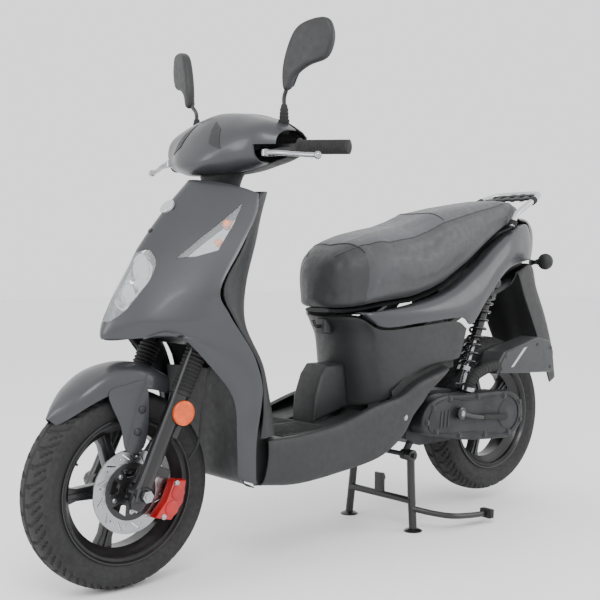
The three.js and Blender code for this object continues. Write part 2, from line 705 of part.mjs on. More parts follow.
const INNER_NET = [
  [[-262, 1, 912], [-268, -60, 910], [-300, -120, 905], [-340, -156, 898], [-355, -161, 897]],
  [[-285, 1, 800], [-295, -70, 800], [-350, -135, 795], [-400, -174, 782], [-416, -179, 779]],
  [[-322, 1, 690], [-335, -80, 690], [-395, -145, 688], [-454, -177, 682], [-474, -180, 680]],
  [[-340, 1, 600], [-350, -85, 600], [-388, -145, 600], [-425, -177, 602], [-441, -180, 604]],
  [[-335, 1, 500], [-338, -90, 500], [-345, -150, 500], [-362, -179, 500], [-374, -181, 500]],
  [[-312, 1, 400], [-312, -95, 400], [-320, -155, 400], [-350, -180, 400], [-363, -182, 400]],
  [[-302, 1, 330], [-302, -100, 330], [-310, -158, 330], [-350, -180, 330], [-371, -181, 330]],
];
const KEY = { x: -300, y: 74, z: 846 };
const keyAxis = V(0.94, 0, 0.34);
const keySpot = (d) => V(KEY.x, KEY.y, KEY.z).addScaledVector(keyAxis, d);
add(
  "inner_leg_shield",
  cut(bothSides(panel(INNER_NET, [-600, -60, 600])), rod(keySpot(-60), keySpot(60), 16.5, 16)),
  MAT.panel,
);
add(
  "ignition_key",
  join(
    rod(keySpot(-22), keySpot(18), 13, 16),
    rod(keySpot(16), keySpot(28), 4, 8),
    box(16, 3, 22, ...keySpot(34).toArray()),
  ),
  MAT.steel,
);

// ---------------------------------------------------------------- floor, skirts and centre body
const FLOOR = { front: -296, rear: -106, half: 150 };
function floorboard() {
  const outline = [
    [FLOOR.front, 318], [FLOOR.rear, 318], [40, 340], [104, 358], [104, 350], [40, 332],
    [FLOOR.rear + 2, 310], [FLOOR.front, 310],
  ];
  const deck = plateXZ(outline, -FLOOR.half, FLOOR.half);
  const bodyClear = box(280, 250, 200, 188, 0, 380);
  const tunnelClear = box(118, 106, 200, -34, 0, 380);
  return mainPiece(cut(deck, bodyClear, tunnelClear));
}
add("floorboard", floorboard(), MAT.rubber);

const SKIRT_NET = [
  [
    [-338, -153, 322], [-237, -153, 322], [-104, -153, 334], [19, -153, 366],
    [112, -153, 384], [185, -153, 420], [300, -153, 452],
  ],
  [
    [-340, -172, 316], [-237, -173, 316], [-104, -174, 330], [19, -175, 362],
    [112, -176, 380], [185, -178, 412], [292, -178, 440],
  ],
  [
    [-345, -176, 270], [-237, -178, 262], [-95, -178, 272], [30, -178, 300],
    [120, -178, 330], [170, -178, 360], [215, -178, 388],
  ],
  [
    [-352, -166, 222], [-237, -168, 208], [-87, -168, 218], [38, -168, 236],
    [118, -168, 276], [150, -168, 320], [186, -168, 352],
  ],
  [
    [-345, -120, 206], [-237, -120, 196], [-87, -120, 204], [34, -120, 224],
    [96, -124, 252], [126, -128, 300], [160, -132, 342],
  ],
];
const skirt = panel(SKIRT_NET, [-60, 0, 300]);
add("floor_skirt_left", skirt, MAT.panel);
add("floor_skirt_right", mirrored(skirt), MAT.panel);

// Wraps round the front of the storage tub and down both sides, below the seat.
const CENTRE_NET = [
  [
    [-23, 1, 592], [-7, -60, 592], [26, -104, 588], [78, -134, 558],
    [200, -154, 564], [336, -162, 572], [388, -160, 550],
  ],
  [
    [8, 1, 540], [22, -60, 540], [52, -104, 538], [92, -136, 524],
    [200, -156, 524], [328, -162, 524], [376, -160, 514],
  ],
  [
    [20, 1, 470], [34, -60, 470], [62, -104, 470], [100, -138, 466],
    [200, -157, 466], [318, -162, 468], [356, -160, 470],
  ],
  [
    [28, 1, 404], [42, -60, 404], [68, -104, 406], [104, -137, 412],
    [190, -150, 436], [300, -150, 466], [342, -148, 468],
  ],
  [
    [30, 1, 354], [44, -60, 356], [70, -104, 362], [106, -134, 378],
    [186, -146, 424], [296, -144, 460], [338, -144, 464],
  ],
];
// Raised box on the floor in front of the centre cover, open below.
function tunnelCover() {
  const level = (z, x0, x1, half) =>
    softRing(z, half, x0, x1, 12, 0.55).map((p) => V(p.z, p.y, p.x));
  const shell = (by) =>
    loft([
      level(348 - by, -86 + by, 42 - by, 50 - by),
      level(384, -82 + by, 36 - by, 48 - by),
      level(440, -58 + by, 30 - by, 42 - by),
      level(468 - by, -34 + by, 26 - by, 30 - by),
    ]);
  return cut(shell(0), shell(3));
}
function bagHook() {
  const plate = box(30, 34, 40, -8, 0, 566);
  const hook = bentTube([[-14, 0, 572], [-32, 0, 566], [-44, 0, 570], [-48, 0, 582]], 4.5, 8, 5);
  return join(plate, hook);
}
add(
  "centre_cover",
  join(bothSides(panel(CENTRE_NET, [200, 0, 500])), tunnelCover(), bagHook()),
  MAT.panel,
);

// Black cover behind the front wheel, closing the space under the leg shield.
const LINER_NET = [
  [[-386, 1, 480], [-386, -60, 480], [-392, -110, 480], [-410, -150, 480]],
  [[-378, 1, 400], [-378, -60, 400], [-386, -110, 400], [-402, -153, 400]],
  [[-375, 1, 300], [-375, -60, 300], [-384, -110, 300], [-400, -154, 300]],
  [[-375, 1, 228], [-375, -60, 228], [-384, -110, 228], [-398, -148, 228]],
  [[-346, 1, 204], [-346, -60, 204], [-350, -110, 204], [-360, -142, 206]],
];
add("wheel_liner", bothSides(panel(LINER_NET, [-250, 0, 330], { wall: 3 })), MAT.panel);

const SIDE_NET = [
  [
    [30, -78, 602], [78, -96, 604], [200, -104, 620], [325, -104, 648], [440, -98, 702],
    [556, -90, 774], [655, -84, 822], [748, -62, 848], [786, -50, 852],
  ],
  [
    [26, -98, 606], [66, -130, 608], [200, -146, 624], [330, -146, 655], [442, -138, 708],
    [556, -128, 778], [656, -114, 826], [754, -86, 846], [796, -62, 844],
  ],
  [
    [24, -104, 605], [58, -136, 600], [200, -162, 612], [336, -166, 632], [440, -160, 672],
    [540, -150, 736], [644, -134, 790], [752, -100, 810], [800, -70, 812],
  ],
  [
    [24, -106, 603], [64, -140, 584], [200, -166, 594], [344, -172, 604], [428, -168, 622],
    [512, -158, 688], [620, -142, 750], [746, -106, 774], [800, -72, 776],
  ],
  [
    [26, -106, 600], [78, -140, 566], [200, -164, 574], [350, -172, 582], [402, -168, 562],
    [480, -160, 630], [592, -144, 712], [740, -106, 740], [796, -72, 742],
  ],
];
const sidePanel = panel(SIDE_NET, [300, 0, 650]);
add("side_panel_left", sidePanel, MAT.paint);
add("side_panel_right", mirrored(sidePanel), MAT.paint);

const TAIL_NET = [
  [[770, 1, 874], [772, -30, 872], [775, -48, 866]],
  [[836, 1, 868], [830, -30, 866], [808, -50, 858]],
  [[866, 1, 838], [858, -32, 838], [816, -56, 834]],
  [[872, 1, 790], [862, -34, 790], [818, -60, 790]],
  [[860, 1, 738], [850, -34, 738], [812, -62, 738]],
];
const TAIL_LIGHT_OUTLINE = [[-34, 756], [34, 756], [40, 800], [28, 826], [-28, 826], [-40, 800]];
const tailSkin = bothSides(panel(TAIL_NET, [780, 0, 800]));
const tailWindow = (by) => prismYZ(shrunk(TAIL_LIGHT_OUTLINE, by), 822, 900);
add("tail_cowl", mainPiece(cut(tailSkin, tailWindow(0))), MAT.paint);
add("tail_light", mainPiece(common(tailSkin, tailWindow(1.2))), MAT.red);

const MUDGUARD_NET = [
  [[400, 1, 548], [400, -34, 546], [400, -48, 540], [400, -52, 528]],
  [[560, 1, 622], [560, -34, 620], [560, -48, 612], [560, -52, 598]],
  [[720, 1, 692], [718, -40, 690], [708, -60, 680], [694, -68, 660]],
  [[838, 1, 728], [828, -45, 728], [790, -72, 722], [716, -84, 702]],
  [[866, 1, 656], [856, -48, 655], [820, -78, 644], [752, -90, 620]],
  [[912, 1, 560], [902, -48, 560], [868, -80, 548], [800, -92, 524]],
  [[944, 1, 464], [936, -48, 464], [908, -78, 452], [850, -88, 430]],
  [[957, 1, 372], [950, -46, 372], [932, -74, 364], [892, -84, 350]],
];
add("rear_mudguard", bothSides(panel(MUDGUARD_NET, [650, 0, 500])), MAT.panel);

function rearIndicator(s) {
  const stalk = rod(V(770, s * 96, 732), V(762, s * 126, 734), 7, 10);
  const bulb = new THREE.SphereGeometry(25, 12, 8).scale(0.9, 1, 1).translate(760, s * 146, 735);
  return join(stalk, bulb);
}
add("rear_indicator_left", rearIndicator(-1), MAT.panel);
add("rear_indicator_right", rearIndicator(1), MAT.panel);

// Grab rail: one loop round the tail, with a slatted deck behind the seat.
function rearRack() {
  const half = [
    [652, 112, 842], [660, 113, 862], [680, 112, 882], [731, 106, 906], [786, 100, 931],
    [818, 84, 943], [836, 50, 947],
  ];
  const loop = [
    ...half.map(([x, y, z]) => [x, -y, z]),
    [840, 0, 948],
    ...half.map((p) => [...p]).reverse(),
  ];
  const rail = bentTube(loop, 9, 8, 22);
  const bars = [[783, 929, 98], [812, 940, 84]].map(([x, z, y]) => rod(V(x, -y, z), V(x, y, z), 5, 6));
  const slats = [-54, -18, 18, 54].map((y) => rod(V(776, y, 926), V(836, y, 947), 6, 6));
  return join(rail, ...bars, ...slats);
}
add("rear_rack", rearRack(), MAT.steel);

// ---------------------------------------------------------------- seat and what is under it
const SEAT_X = [-60, -50, -34, -6, 40, 100, 170, 223, 284, 346, 455, 560, 639, 700, 745, 768];
const SEAT_TOP = [684, 726, 747, 768, 790, 808, 822, 831, 849, 871, 891, 906, 916, 914, 904, 888];
const SEAT_LOW = [640, 622, 617, 616, 620, 628, 634, 638, 652, 672, 728, 794, 836, 853, 864, 868];
const SEAT_HALF = [14, 46, 74, 106, 130, 138, 140, 139, 136, 132, 124, 114, 104, 90, 70, 40];
add(
  "seat_cushion",
  loft(SEAT_X.map((x, i) => softRing(x, SEAT_HALF[i], SEAT_LOW[i], SEAT_TOP[i], 14, 0.6, 0.34))),
  MAT.vinyl,
);
const seatBase = loft(
  SEAT_X.slice(2, -1).map((x, k) => {
    const i = k + 2;
    return softRing(x, Math.max(26, SEAT_HALF[i] - 26), SEAT_LOW[i] - 13, SEAT_LOW[i] - 1.5, 8, 0.5);
  }),
);
add("seat_base", seatBase, MAT.panel);

function storageTub() {
  const section = (x, low, high, by) => softRing(x, 104 + by, low - by, high, 12, 0.4);
  const lengthwise = (front, rear, lowFront, lowRear, top, by) =>
    loft([
      section(front, lowFront, top, by),
      section(120, 440, top, by),
      section(330, 440, top, by),
      section(rear, lowRear, top, by),
    ]);
  const outer = lengthwise(86, 376, 470, 480, 592, 0);
  const inner = lengthwise(90, 372, 474, 484, 640, -4);
  return cut(outer, inner);
}
add("storage_tub", storageTub(), MAT.panel);

// ---------------------------------------------------------------- frame
function frame() {
  const headTube = rod(V(...onSteeringAxis(664)), V(...onSteeringAxis(836)), 26, 16);
  const headBore = rod(V(...onSteeringAxis(650)), V(...onSteeringAxis(850)), 15.5, 16);
  const spine = bentTube(
    [onSteeringAxis(740), [-368, 0, 560], [-350, 0, 420], [-334, 0, 320], [-318, 0, 268]],
    19,
    8,
    7,
  );
  const cross = crossRod(-318, 262, -112, 112, 15, 10);
  const rail = (s) =>
    bentTube(
      [
        [-318, s * 104, 262], [-100, s * 104, 262], [10, s * 106, 268], [88, s * 106, 306],
        [134, s * 112, 420], [158, s * 118, 520], [300, s * 120, 588], [480, s * 100, 690],
        [700, s * 70, 776],
      ],
      12,
      6,
      12,
    );
  const rearCross = crossRod(560, 716, -92, 92, 10, 8);
  const hanger = [-1, 1].map((s) =>
    rod(V(50, s * 106, 286), V(SWING_PIVOT.x, s * 86, SWING_PIVOT.z), 12, 8),
  );
  const hangerEyes = [-1, 1].map((s) =>
    crossRod(SWING_PIVOT.x, SWING_PIVOT.z, s * 76, s * 94, 17, 12),
  );
  const shockEar = join(
    rod(V(560, -88, 712), V(SHOCK.high.x, -108, SHOCK.high.z + 24), 8, 8),
    crossRod(SHOCK.high.x, SHOCK.high.z, -112, -100, 13, 10),
    rod(V(SHOCK.high.x, -107, SHOCK.high.z), V(SHOCK.high.x, -107, SHOCK.high.z + 26), 8, 8),
  );
  const pin = crossRod(SHOCK.high.x, SHOCK.high.z, -110, -66, 6, 10);
  const tubes = join(
    headTube, spine, cross, rail(-1), rail(1), rearCross, ...hanger, ...hangerEyes, shockEar, pin,
  );
  return cut(tubes, headBore, crossRod(SWING_PIVOT.x, SWING_PIVOT.z, -130, 130, 8.2));
}
add("frame", frame(), MAT.blackMetal);

// ---------------------------------------------------------------- engine and drive
const CASE_OUTLINE = [
  [208, 306], [222, 268], [300, 252], [400, 232], [560, 219], [604, 226], [640, 252], [652, 290],
  [640, 326], [604, 352], [548, 360], [380, 364], [300, 368], [240, 352],
];
function driveCover() {
  const shape = new THREE.Shape(CASE_OUTLINE.map(([x, z]) => new THREE.Vector2(x, z)));
  const body = new THREE.ExtrudeGeometry(shape, {
    depth: 42,
    bevelEnabled: true,
    bevelThickness: 8,
    bevelSize: 8,
    bevelOffset: -8,
    bevelSegments: 2,
  });
  // the bevelled face looks to the left, and a deep pocket is left open on the engine's side
  body.rotateX(Math.PI / 2).translate(0, -110, 0);
  const hollow = plateXZ(shrunk(CASE_OUTLINE, 14), -152, -96);
  const boss = crossRod(KICK.x, KICK.z, -166, -150, 15, 14);
  return join(cut(clean(body), box(700, 40, 400, 430, -89.8, 290), hollow), boss);
}
add("drive_cover", driveCover(), MAT.castGrey);

function engineCase() {
  const backplate = plateXZ(shrunk(CASE_OUTLINE, 2), -109.4, -96);
  const crankcase = plateXZ(
    [[206, 250], [260, 226], [392, 226], [404, 300], [392, 372], [250, 380], [206, 330]],
    -100,
    92,
  );
  const gearbox = crossRod(REAR.x - 30, REAR.z + 4, -100, -66, 56, 16);
  const arm = plateXZ([[390, 246], [620, 232], [640, 320], [392, 352]], -100, -68);
  const barrel = plateXZ([[96, 292], [220, 286], [220, 372], [112, 384]], -52, 60);
  const fan = crossRod(300, 300, 90, 124, 74, 18, 66);
  const pivotLugs = [-1, 1].map((s) =>
    join(
      crossRod(SWING_PIVOT.x, SWING_PIVOT.z, s * 54, s * 73, 16, 12),
      rod(V(SWING_PIVOT.x, s * 64, SWING_PIVOT.z), V(230, s * 66, 268), 10, 8),
    ),
  );
  const pivotBolt = crossRod(SWING_PIVOT.x, SWING_PIVOT.z, -100, 100, 7.5, 14);
  const shockEar = join(
    box(20, 9.6, 54, SHOCK.low.x - 2, -104, SHOCK.low.z - 24),
    crossRod(SHOCK.low.x, SHOCK.low.z, -109, -99, 13, 12),
  );
  const standLugs = [-1, 1].map((s) =>
    join(
      crossRod(STAND_PIVOT.x, STAND_PIVOT.z, s * 78, s * 92, 15, 12),
      rod(V(STAND_PIVOT.x, s * 85, STAND_PIVOT.z), V(244, s * 85, 246), 10, 8),
    ),
  );
  const standBolt = crossRod(STAND_PIVOT.x, STAND_PIVOT.z, -126, 126, 7, 12);
  const wheelShaft = crossRod(REAR.x, REAR.z, -98, 78, 8.4, 16);
  const axleBoss = crossRod(REAR.x, REAR.z, -98, -66, 30, 16);
  return join(
    backplate, crankcase, gearbox, arm, barrel, fan, ...pivotLugs, pivotBolt, shockEar,
    ...standLugs, standBolt, wheelShaft, axleBoss,
  );
}
add("engine_case", engineCase(), MAT.castGrey);

const AIRBOX_OUTLINE = [
  [532, 408], [532, 462], [742, 506], [800, 492], [818, 458], [818, 398], [806, 394],
];
function airBox() {
  const shape = new THREE.Shape(AIRBOX_OUTLINE.map(([x, z]) => new THREE.Vector2(x, z)));
  const body = new THREE.ExtrudeGeometry(shape, {
    depth: 76,
    bevelEnabled: true,
    bevelThickness: 6,
    bevelSize: 6,
    bevelOffset: -6,
    bevelSegments: 1,
  });
  body.rotateX(Math.PI / 2).translate(0, -74, 0);
  const duct = bentTube(
    [[560, -136, 432], [505, -140, 428], [458, -140, 414], [436, -136, 392], [432, -132, 374]],
    17,
    10,
    8,
  );
  return join(clean(body), duct);
}
add("air_box", airBox(), MAT.panel);

function exhaust() {
  const pipe = bentTube(
    [
      [112, 20, 280], [118, 70, 236], [150, 122, 232], [200, 148, 240], [280, 153, 240],
      [372, 152, 240],
    ],
    15,
    8,
    10,
  );
  const stations = [
    [366, 24, 240], [390, 46, 244], [470, 54, 256], [700, 54, 300], [752, 44, 312], [762, 20, 314],
  ];
  const muffler = loft(
    stations.map(([x, r, z]) => softRing(x, r, z - r, z + r, 14, 0.9).map((p) => p.setY(p.y + 152))),
  );
  return join(pipe, muffler);
}
add("exhaust", exhaust(), MAT.blackMetal);

// ---------------------------------------------------------------- rear shock absorber
const SPRING_SEAT_RADIUS = 26;
const COIL_RADIUS = 22;
const shockLow = V(SHOCK.low.x, SHOCK.y, SHOCK.low.z);
const shockHigh = V(SHOCK.high.x, SHOCK.y, SHOCK.high.z);
const shockAt = (t) => shockLow.clone().lerp(shockHigh, t);
add(
  "shock_upper",
  cut(
    join(
      rod(shockAt(0.44), shockAt(0.97), 15, 12),
      rod(shockAt(0.86), shockAt(0.9), SPRING_SEAT_RADIUS, 16),
      crossRod(SHOCK.high.x, SHOCK.high.z, -96, -72, 14, 14),
    ),
    crossRod(SHOCK.high.x, SHOCK.high.z, -120, -60, 6.3, 12),
    rod(shockAt(0.4), shockAt(0.8), 8.4, 12),
  ),
  MAT.blackMetal,
);
add(
  "shock_lower",
  cut(
    join(
      rod(shockAt(0.03), shockAt(0.6), 8, 12),
      rod(shockAt(0.14), shockAt(0.18), SPRING_SEAT_RADIUS, 16),
      crossRod(SHOCK.low.x, SHOCK.low.z, -96, -72, 14, 14),
    ),
    crossRod(SHOCK.low.x, SHOCK.low.z, -120, -60, 7.5, 12),
  ),
  MAT.steel,
);
// Coil spring, wound about the shock's own line.
function coil() {
  const turns = 8;
  const perTurn = 8;
  const [from, to] = [shockAt(0.2), shockAt(0.84)];
  const line = to.clone().sub(from);
  const up = line.clone().normalize();
  const across = V(0, 1, 0);
  const forward = up.clone().cross(across);
  const points = Array.from({ length: turns * perTurn + 1 }, (_, i) => {
    const a = (i / perTurn) * Math.PI * 2;
    return from
      .clone()
      .addScaledVector(line, i / (turns * perTurn))
      .addScaledVector(across, COIL_RADIUS * Math.cos(a))
      .addScaledVector(forward, COIL_RADIUS * Math.sin(a));
  });
  return bentTube(points.map((p) => p.toArray()), 3.6, 4, turns * perTurn);
}
add("shock_spring", coil(), MAT.blackMetal);

// ---------------------------------------------------------------- centre stand and kick starter
function centreStand() {
  const leg = (s) => rod(V(STAND_PIVOT.x, s * 108, STAND_PIVOT.z), V(207, s * 126, 6), 11, 12);
  const foot = (s) => rod(V(207, s * 126, 0), V(207, s * 126, 8), 25, 12, 18);
  const eye = (s) => crossRod(STAND_PIVOT.x, STAND_PIVOT.z, s * 95, s * 119, 16, 14);
  const bar = crossRod(207, 82, -120, 120, 9.5, 8);
  const upright = box(8, 34, 62, 205, 20, 112);
  const tang = bentTube(
    [[206, -124, 62], [244, -162, 50], [288, -195, 41], [352, -202, 33], [424, -203, 27]],
    8,
    8,
    8,
  );
  const pad = box(16, 40, 26, 428, -204, 28);
  const bore = crossRod(STAND_PIVOT.x, STAND_PIVOT.z, -140, 140, 7.4, 14);
  return cut(join(leg(-1), leg(1), foot(-1), foot(1), eye(-1), eye(1), bar, upright, tang, pad), bore);
}
add("centre_stand", centreStand(), MAT.blackMetal);

function kickLever() {
  const boss = crossRod(KICK.x, KICK.z, -179, -166.6, 17, 14);
  const arm = bentTube([[KICK.x, -173, KICK.z], [400, -173, 302], [452, -173, 293]], 6.5, 8, 6);
  const pedal = rod(V(446, -173, 294), V(553, -173, 285), 8.5, 10);
  return join(boss, arm, pedal);
}
add("kick_lever", kickLever(), MAT.blackMetal);

// ---------------------------------------------------------------- control cables along the fork
add(
  "brake_hose",
  bentTube(
    [[-506, -84, 285], [-494, -108, 332], [-500, -130, 404], [-486, -130, 460], [-478, -128, 500]],
    3.2,
    6,
    8,
  ),
  MAT.rubber,
);
add(
  "speedometer_cable",
  bentTube(
    [
      [-672, -125, 222], [-662, -130, 262], [-620, -130, 352], [-576, -130, 444],
      [-536, -126, 524], [-520, -124, 552],
    ],
    2.8,
    6,
    8,
  ),
  MAT.rubber,
);

export default scooter;
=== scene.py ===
"""Looks of the moped scooter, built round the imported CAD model."""
import json
import math

import bpy
import bmesh
import numpy as np
from mathutils import Matrix, Vector

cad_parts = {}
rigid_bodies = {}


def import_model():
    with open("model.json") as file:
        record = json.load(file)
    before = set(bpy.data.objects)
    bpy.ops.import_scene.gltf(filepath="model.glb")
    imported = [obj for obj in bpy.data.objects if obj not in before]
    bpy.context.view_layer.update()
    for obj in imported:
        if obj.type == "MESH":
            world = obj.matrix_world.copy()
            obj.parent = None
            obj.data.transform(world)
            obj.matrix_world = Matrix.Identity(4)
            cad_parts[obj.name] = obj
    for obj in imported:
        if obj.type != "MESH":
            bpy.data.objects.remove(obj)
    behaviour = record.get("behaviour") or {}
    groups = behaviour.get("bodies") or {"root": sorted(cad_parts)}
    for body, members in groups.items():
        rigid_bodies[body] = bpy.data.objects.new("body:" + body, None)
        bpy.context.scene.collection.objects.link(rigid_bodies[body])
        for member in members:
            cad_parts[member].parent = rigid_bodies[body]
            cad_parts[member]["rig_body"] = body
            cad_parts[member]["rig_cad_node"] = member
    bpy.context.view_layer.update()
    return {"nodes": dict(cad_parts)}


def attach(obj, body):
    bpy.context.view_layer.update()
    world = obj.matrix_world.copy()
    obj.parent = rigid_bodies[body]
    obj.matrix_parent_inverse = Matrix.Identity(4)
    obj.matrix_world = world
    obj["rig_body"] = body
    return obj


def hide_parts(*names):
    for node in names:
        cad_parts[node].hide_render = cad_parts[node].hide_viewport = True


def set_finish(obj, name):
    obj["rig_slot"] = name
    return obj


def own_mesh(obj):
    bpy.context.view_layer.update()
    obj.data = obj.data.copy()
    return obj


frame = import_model()

# ------------------------------------------------------------------ the model's own dimensions, mm
SHIFT = -42.0  # the CAD group's move along X
CASTER = math.radians(26.5)
STEER_GROUND_X = -731.0
FRONT_AXLE = (-645.0, 228.0)
REAR_AXLE = (645.0, 269.0)
FORK_OFFSET = -24.7
LEG_SPREAD = 98.0


def mm(p):
    """A design point in millimetres as a point of the row frame in metres."""
    return Vector(((p[0] + SHIFT) / 1000, p[1] / 1000, p[2] / 1000))


def fork_point(p, y, u):
    """A point of the fork's own frame (across, side, along) as design millimetres."""
    return (
        STEER_GROUND_X + u * math.sin(CASTER) + p * math.cos(CASTER),
        y,
        u * math.cos(CASTER) - p * math.sin(CASTER),
    )


# ------------------------------------------------------------------ materials
def new_material(name):
    mat = bpy.data.materials.new(name)
    mat.use_nodes = True
    tree = mat.node_tree
    shader = tree.nodes["Principled BSDF"]
    return mat, tree, shader


def link(tree, a, b):
    tree.links.new(a, b)


def noise(tree, scale, detail=4.0, stretch=(1, 1, 1)):
    coords = tree.nodes.new("ShaderNodeTexCoord")
    place = tree.nodes.new("ShaderNodeMapping")
    place.inputs["Scale"].default_value = stretch
    tex = tree.nodes.new("ShaderNodeTexNoise")
    tex.inputs["Scale"].default_value = scale
    tex.inputs["Detail"].default_value = detail
    link(tree, coords.outputs["Object"], place.inputs["Vector"])
    link(tree, place.outputs["Vector"], tex.inputs["Vector"])
    return tex.outputs["Fac"]


def ramp(tree, source, low, high, start=0.35, end=0.65):
    node = tree.nodes.new("ShaderNodeValToRGB")
    node.color_ramp.elements[0].position = start
    node.color_ramp.elements[1].position = end
    node.color_ramp.elements[0].color = (*low, 1) if len(low) == 3 else low
    node.color_ramp.elements[1].color = (*high, 1) if len(high) == 3 else high
    link(tree, source, node.inputs["Fac"])
    return node.outputs["Color"]


def grey(value):
    return (value, value, value)


def add_bump(tree, shader, source, strength, distance):
    node = tree.nodes.new("ShaderNodeBump")
    node.inputs["Strength"].default_value = strength
    node.inputs["Distance"].default_value = distance
    link(tree, source, node.inputs["Height"])
    link(tree, node.outputs["Normal"], shader.inputs["Normal"])


def finish_of(
    name,
    color,
    spread=0.12,
    rough=(0.4, 0.5),
    metallic=0.0,
    grain=None,
    patch_scale=9.0,
    coat=0.0,
    stretch=(1, 1, 1),
):
    """A surface whose colour and roughness drift in patches. Its grain is (scale, strength, depth)."""
    mat, tree, shader = new_material(name)
    low = tuple(c * (1 - spread) for c in color)
    high = tuple(min(1, c * (1 + spread)) for c in color)
    patches = noise(tree, patch_scale, 5)
    link(tree, ramp(tree, patches, low, high), shader.inputs["Base Color"])
    scuffs = noise(tree, patch_scale * 7, 6, stretch)
    rough_color = ramp(tree, scuffs, grey(rough[0]), grey(rough[1]), 0.3, 0.7)
    link(tree, rough_color, shader.inputs["Roughness"])
    shader.inputs["Metallic"].default_value = metallic
    shader.inputs["Coat Weight"].default_value = coat
    shader.inputs["Coat Roughness"].default_value = 0.12
    if grain:
        add_bump(tree, shader, noise(tree, grain[0], 3, stretch), grain[1], grain[2])
    return mat


def leather_grain(name, color, spread=0.1, rough=(0.45, 0.6)):
    mat, tree, shader = new_material(name)
    low = tuple(c * (1 - spread) for c in color)
    high = tuple(c * (1 + spread) for c in color)
    link(tree, ramp(tree, noise(tree, 7, 4), low, high), shader.inputs["Base Color"])
    link(
        tree,
        ramp(tree, noise(tree, 60, 4), grey(rough[0]), grey(rough[1])),
        shader.inputs["Roughness"],
    )
    cells = tree.nodes.new("ShaderNodeTexVoronoi")
    cells.inputs["Scale"].default_value = 620
    coords = tree.nodes.new("ShaderNodeTexCoord")
    link(tree, coords.outputs["Object"], cells.inputs["Vector"])
    add_bump(tree, shader, cells.outputs["Distance"], 0.28, 0.0006)
    shader.inputs["Sheen Weight"].default_value = 0.08
    return mat


def glassy(name, color, rough=0.04, alpha=0.32, transmission=0.0):
    mat, tree, shader = new_material(name)
    shader.inputs["Base Color"].default_value = (*color, 1)
    drift = ramp(tree, noise(tree, 14, 3), grey(rough), grey(rough + 0.05))
    link(tree, drift, shader.inputs["Roughness"])
    shader.inputs["Alpha"].default_value = alpha
    shader.inputs["Transmission Weight"].default_value = transmission
    shader.inputs["Coat Weight"].default_value = 0.4
    return mat


MATS = {
    "paint": finish_of(
        "anthracite_paint", (0.036, 0.038, 0.043), 0.05, (0.36, 0.46), 0.35, (420, 0.05, 0.0004),
        4, 0.25,
    ),
    "plastic": finish_of(
        "black_plastic", (0.0105, 0.011, 0.012), 0.15, (0.48, 0.62), 0, (950, 0.22, 0.0004),
    ),
    "plastic_light": finish_of(
        "dark_grey_plastic", (0.024, 0.025, 0.028), 0.1, (0.42, 0.55), 0, (900, 0.2, 0.0004),
    ),
    "rubber": finish_of("rubber", (0.008, 0.008, 0.0085), 0.2, (0.7, 0.85), 0, (600, 0.25, 0.0005)),
    "tyre": finish_of(
        "tyre_rubber", (0.009, 0.009, 0.0095), 0.25, (0.68, 0.86), 0, (500, 0.25, 0.0005), 14,
    ),
    "black_metal": finish_of(
        "black_metal", (0.009, 0.009, 0.01), 0.15, (0.28, 0.42), 0.2, (320, 0.06, 0.0003), 12, 0.2,
    ),
    "cast": finish_of(
        "cast_grey", (0.05, 0.052, 0.056), 0.12, (0.42, 0.56), 0.55, (520, 0.22, 0.0005), 14,
    ),
    "case": finish_of(
        "cast_alloy", (0.028, 0.029, 0.031), 0.25, (0.45, 0.6), 0.6, (380, 0.35, 0.0008), 16,
    ),
    "steel": finish_of(
        "brushed_steel", (0.34, 0.345, 0.36), 0.08, (0.22, 0.34), 1.0, (240, 0.08, 0.0003), 20, 0,
        (1, 1, 14),
    ),
    "silver": finish_of(
        "silver_paint", (0.5, 0.51, 0.53), 0.04, (0.3, 0.38), 0.7, (600, 0.05, 0.0002), 10, 0.3,
    ),
    "chrome": finish_of("chrome", (0.5, 0.51, 0.53), 0.03, (0.05, 0.1), 1.0, None, 10),
    "spring": finish_of("spring_black", (0.01, 0.01, 0.011), 0.1, (0.2, 0.3), 0.1, None, 20, 0.5),
    "red": finish_of(
        "caliper_red", (0.36, 0.004, 0.005), 0.12, (0.36, 0.48), 0, (500, 0.1, 0.0004), 20, 0.15,
    ),
    "amber": glassy("amber_lens", (0.8, 0.17, 0.01), 0.08, 0.97),
    "reflector": finish_of(
        "orange_reflector", (0.62, 0.075, 0.002), 0.15, (0.25, 0.34), 0, (260, 0.5, 0.002), 60,
        0.1,
    ),
    "tail_red": glassy("red_lens", (0.5, 0.01, 0.012), 0.06, 0.95),
    "lens": glassy("clear_lens", (0.8, 0.83, 0.86), 0.03, 0.13),
    "smoke": glassy("meter_lens", (0.05, 0.055, 0.06), 0.05, 0.55),
    "mirror": finish_of("mirror_glass", (0.86, 0.88, 0.9), 0.01, (0.01, 0.02), 1.0, None, 6),
    "vinyl_nose": leather_grain("vinyl_nose", (0.017, 0.018, 0.02)),
    "vinyl_top": leather_grain("vinyl_top", (0.062, 0.064, 0.072)),
    "vinyl_side": leather_grain("vinyl_side", (0.034, 0.035, 0.039)),
    "mat": finish_of("floor_rubber", (0.011, 0.0115, 0.0125), 0.2, (0.6, 0.8), 0, (700, 0.35, 0.0006)),
    "stripe": finish_of("light_stripe", (0.42, 0.43, 0.46), 0.04, (0.35, 0.45), 0.3, None, 10),
}


# ------------------------------------------------------------------ mesh building
def smooth(obj, angle=38):
    mesh = obj.data
    mesh.polygons.foreach_set("use_smooth", [True] * len(mesh.polygons))
    mesh.set_sharp_from_angle(angle=math.radians(angle))
    mesh.update()
    return obj


def make_object(name, verts, faces, material, angle=38):
    mesh = bpy.data.meshes.new(name)
    mesh.from_pydata([tuple(v) for v in verts], [], faces)
    mesh.validate()
    obj = bpy.data.objects.new(name, mesh)
    bpy.context.scene.collection.objects.link(obj)
    if material:
        mesh.materials.append(MATS[material])
    return smooth(obj, angle)


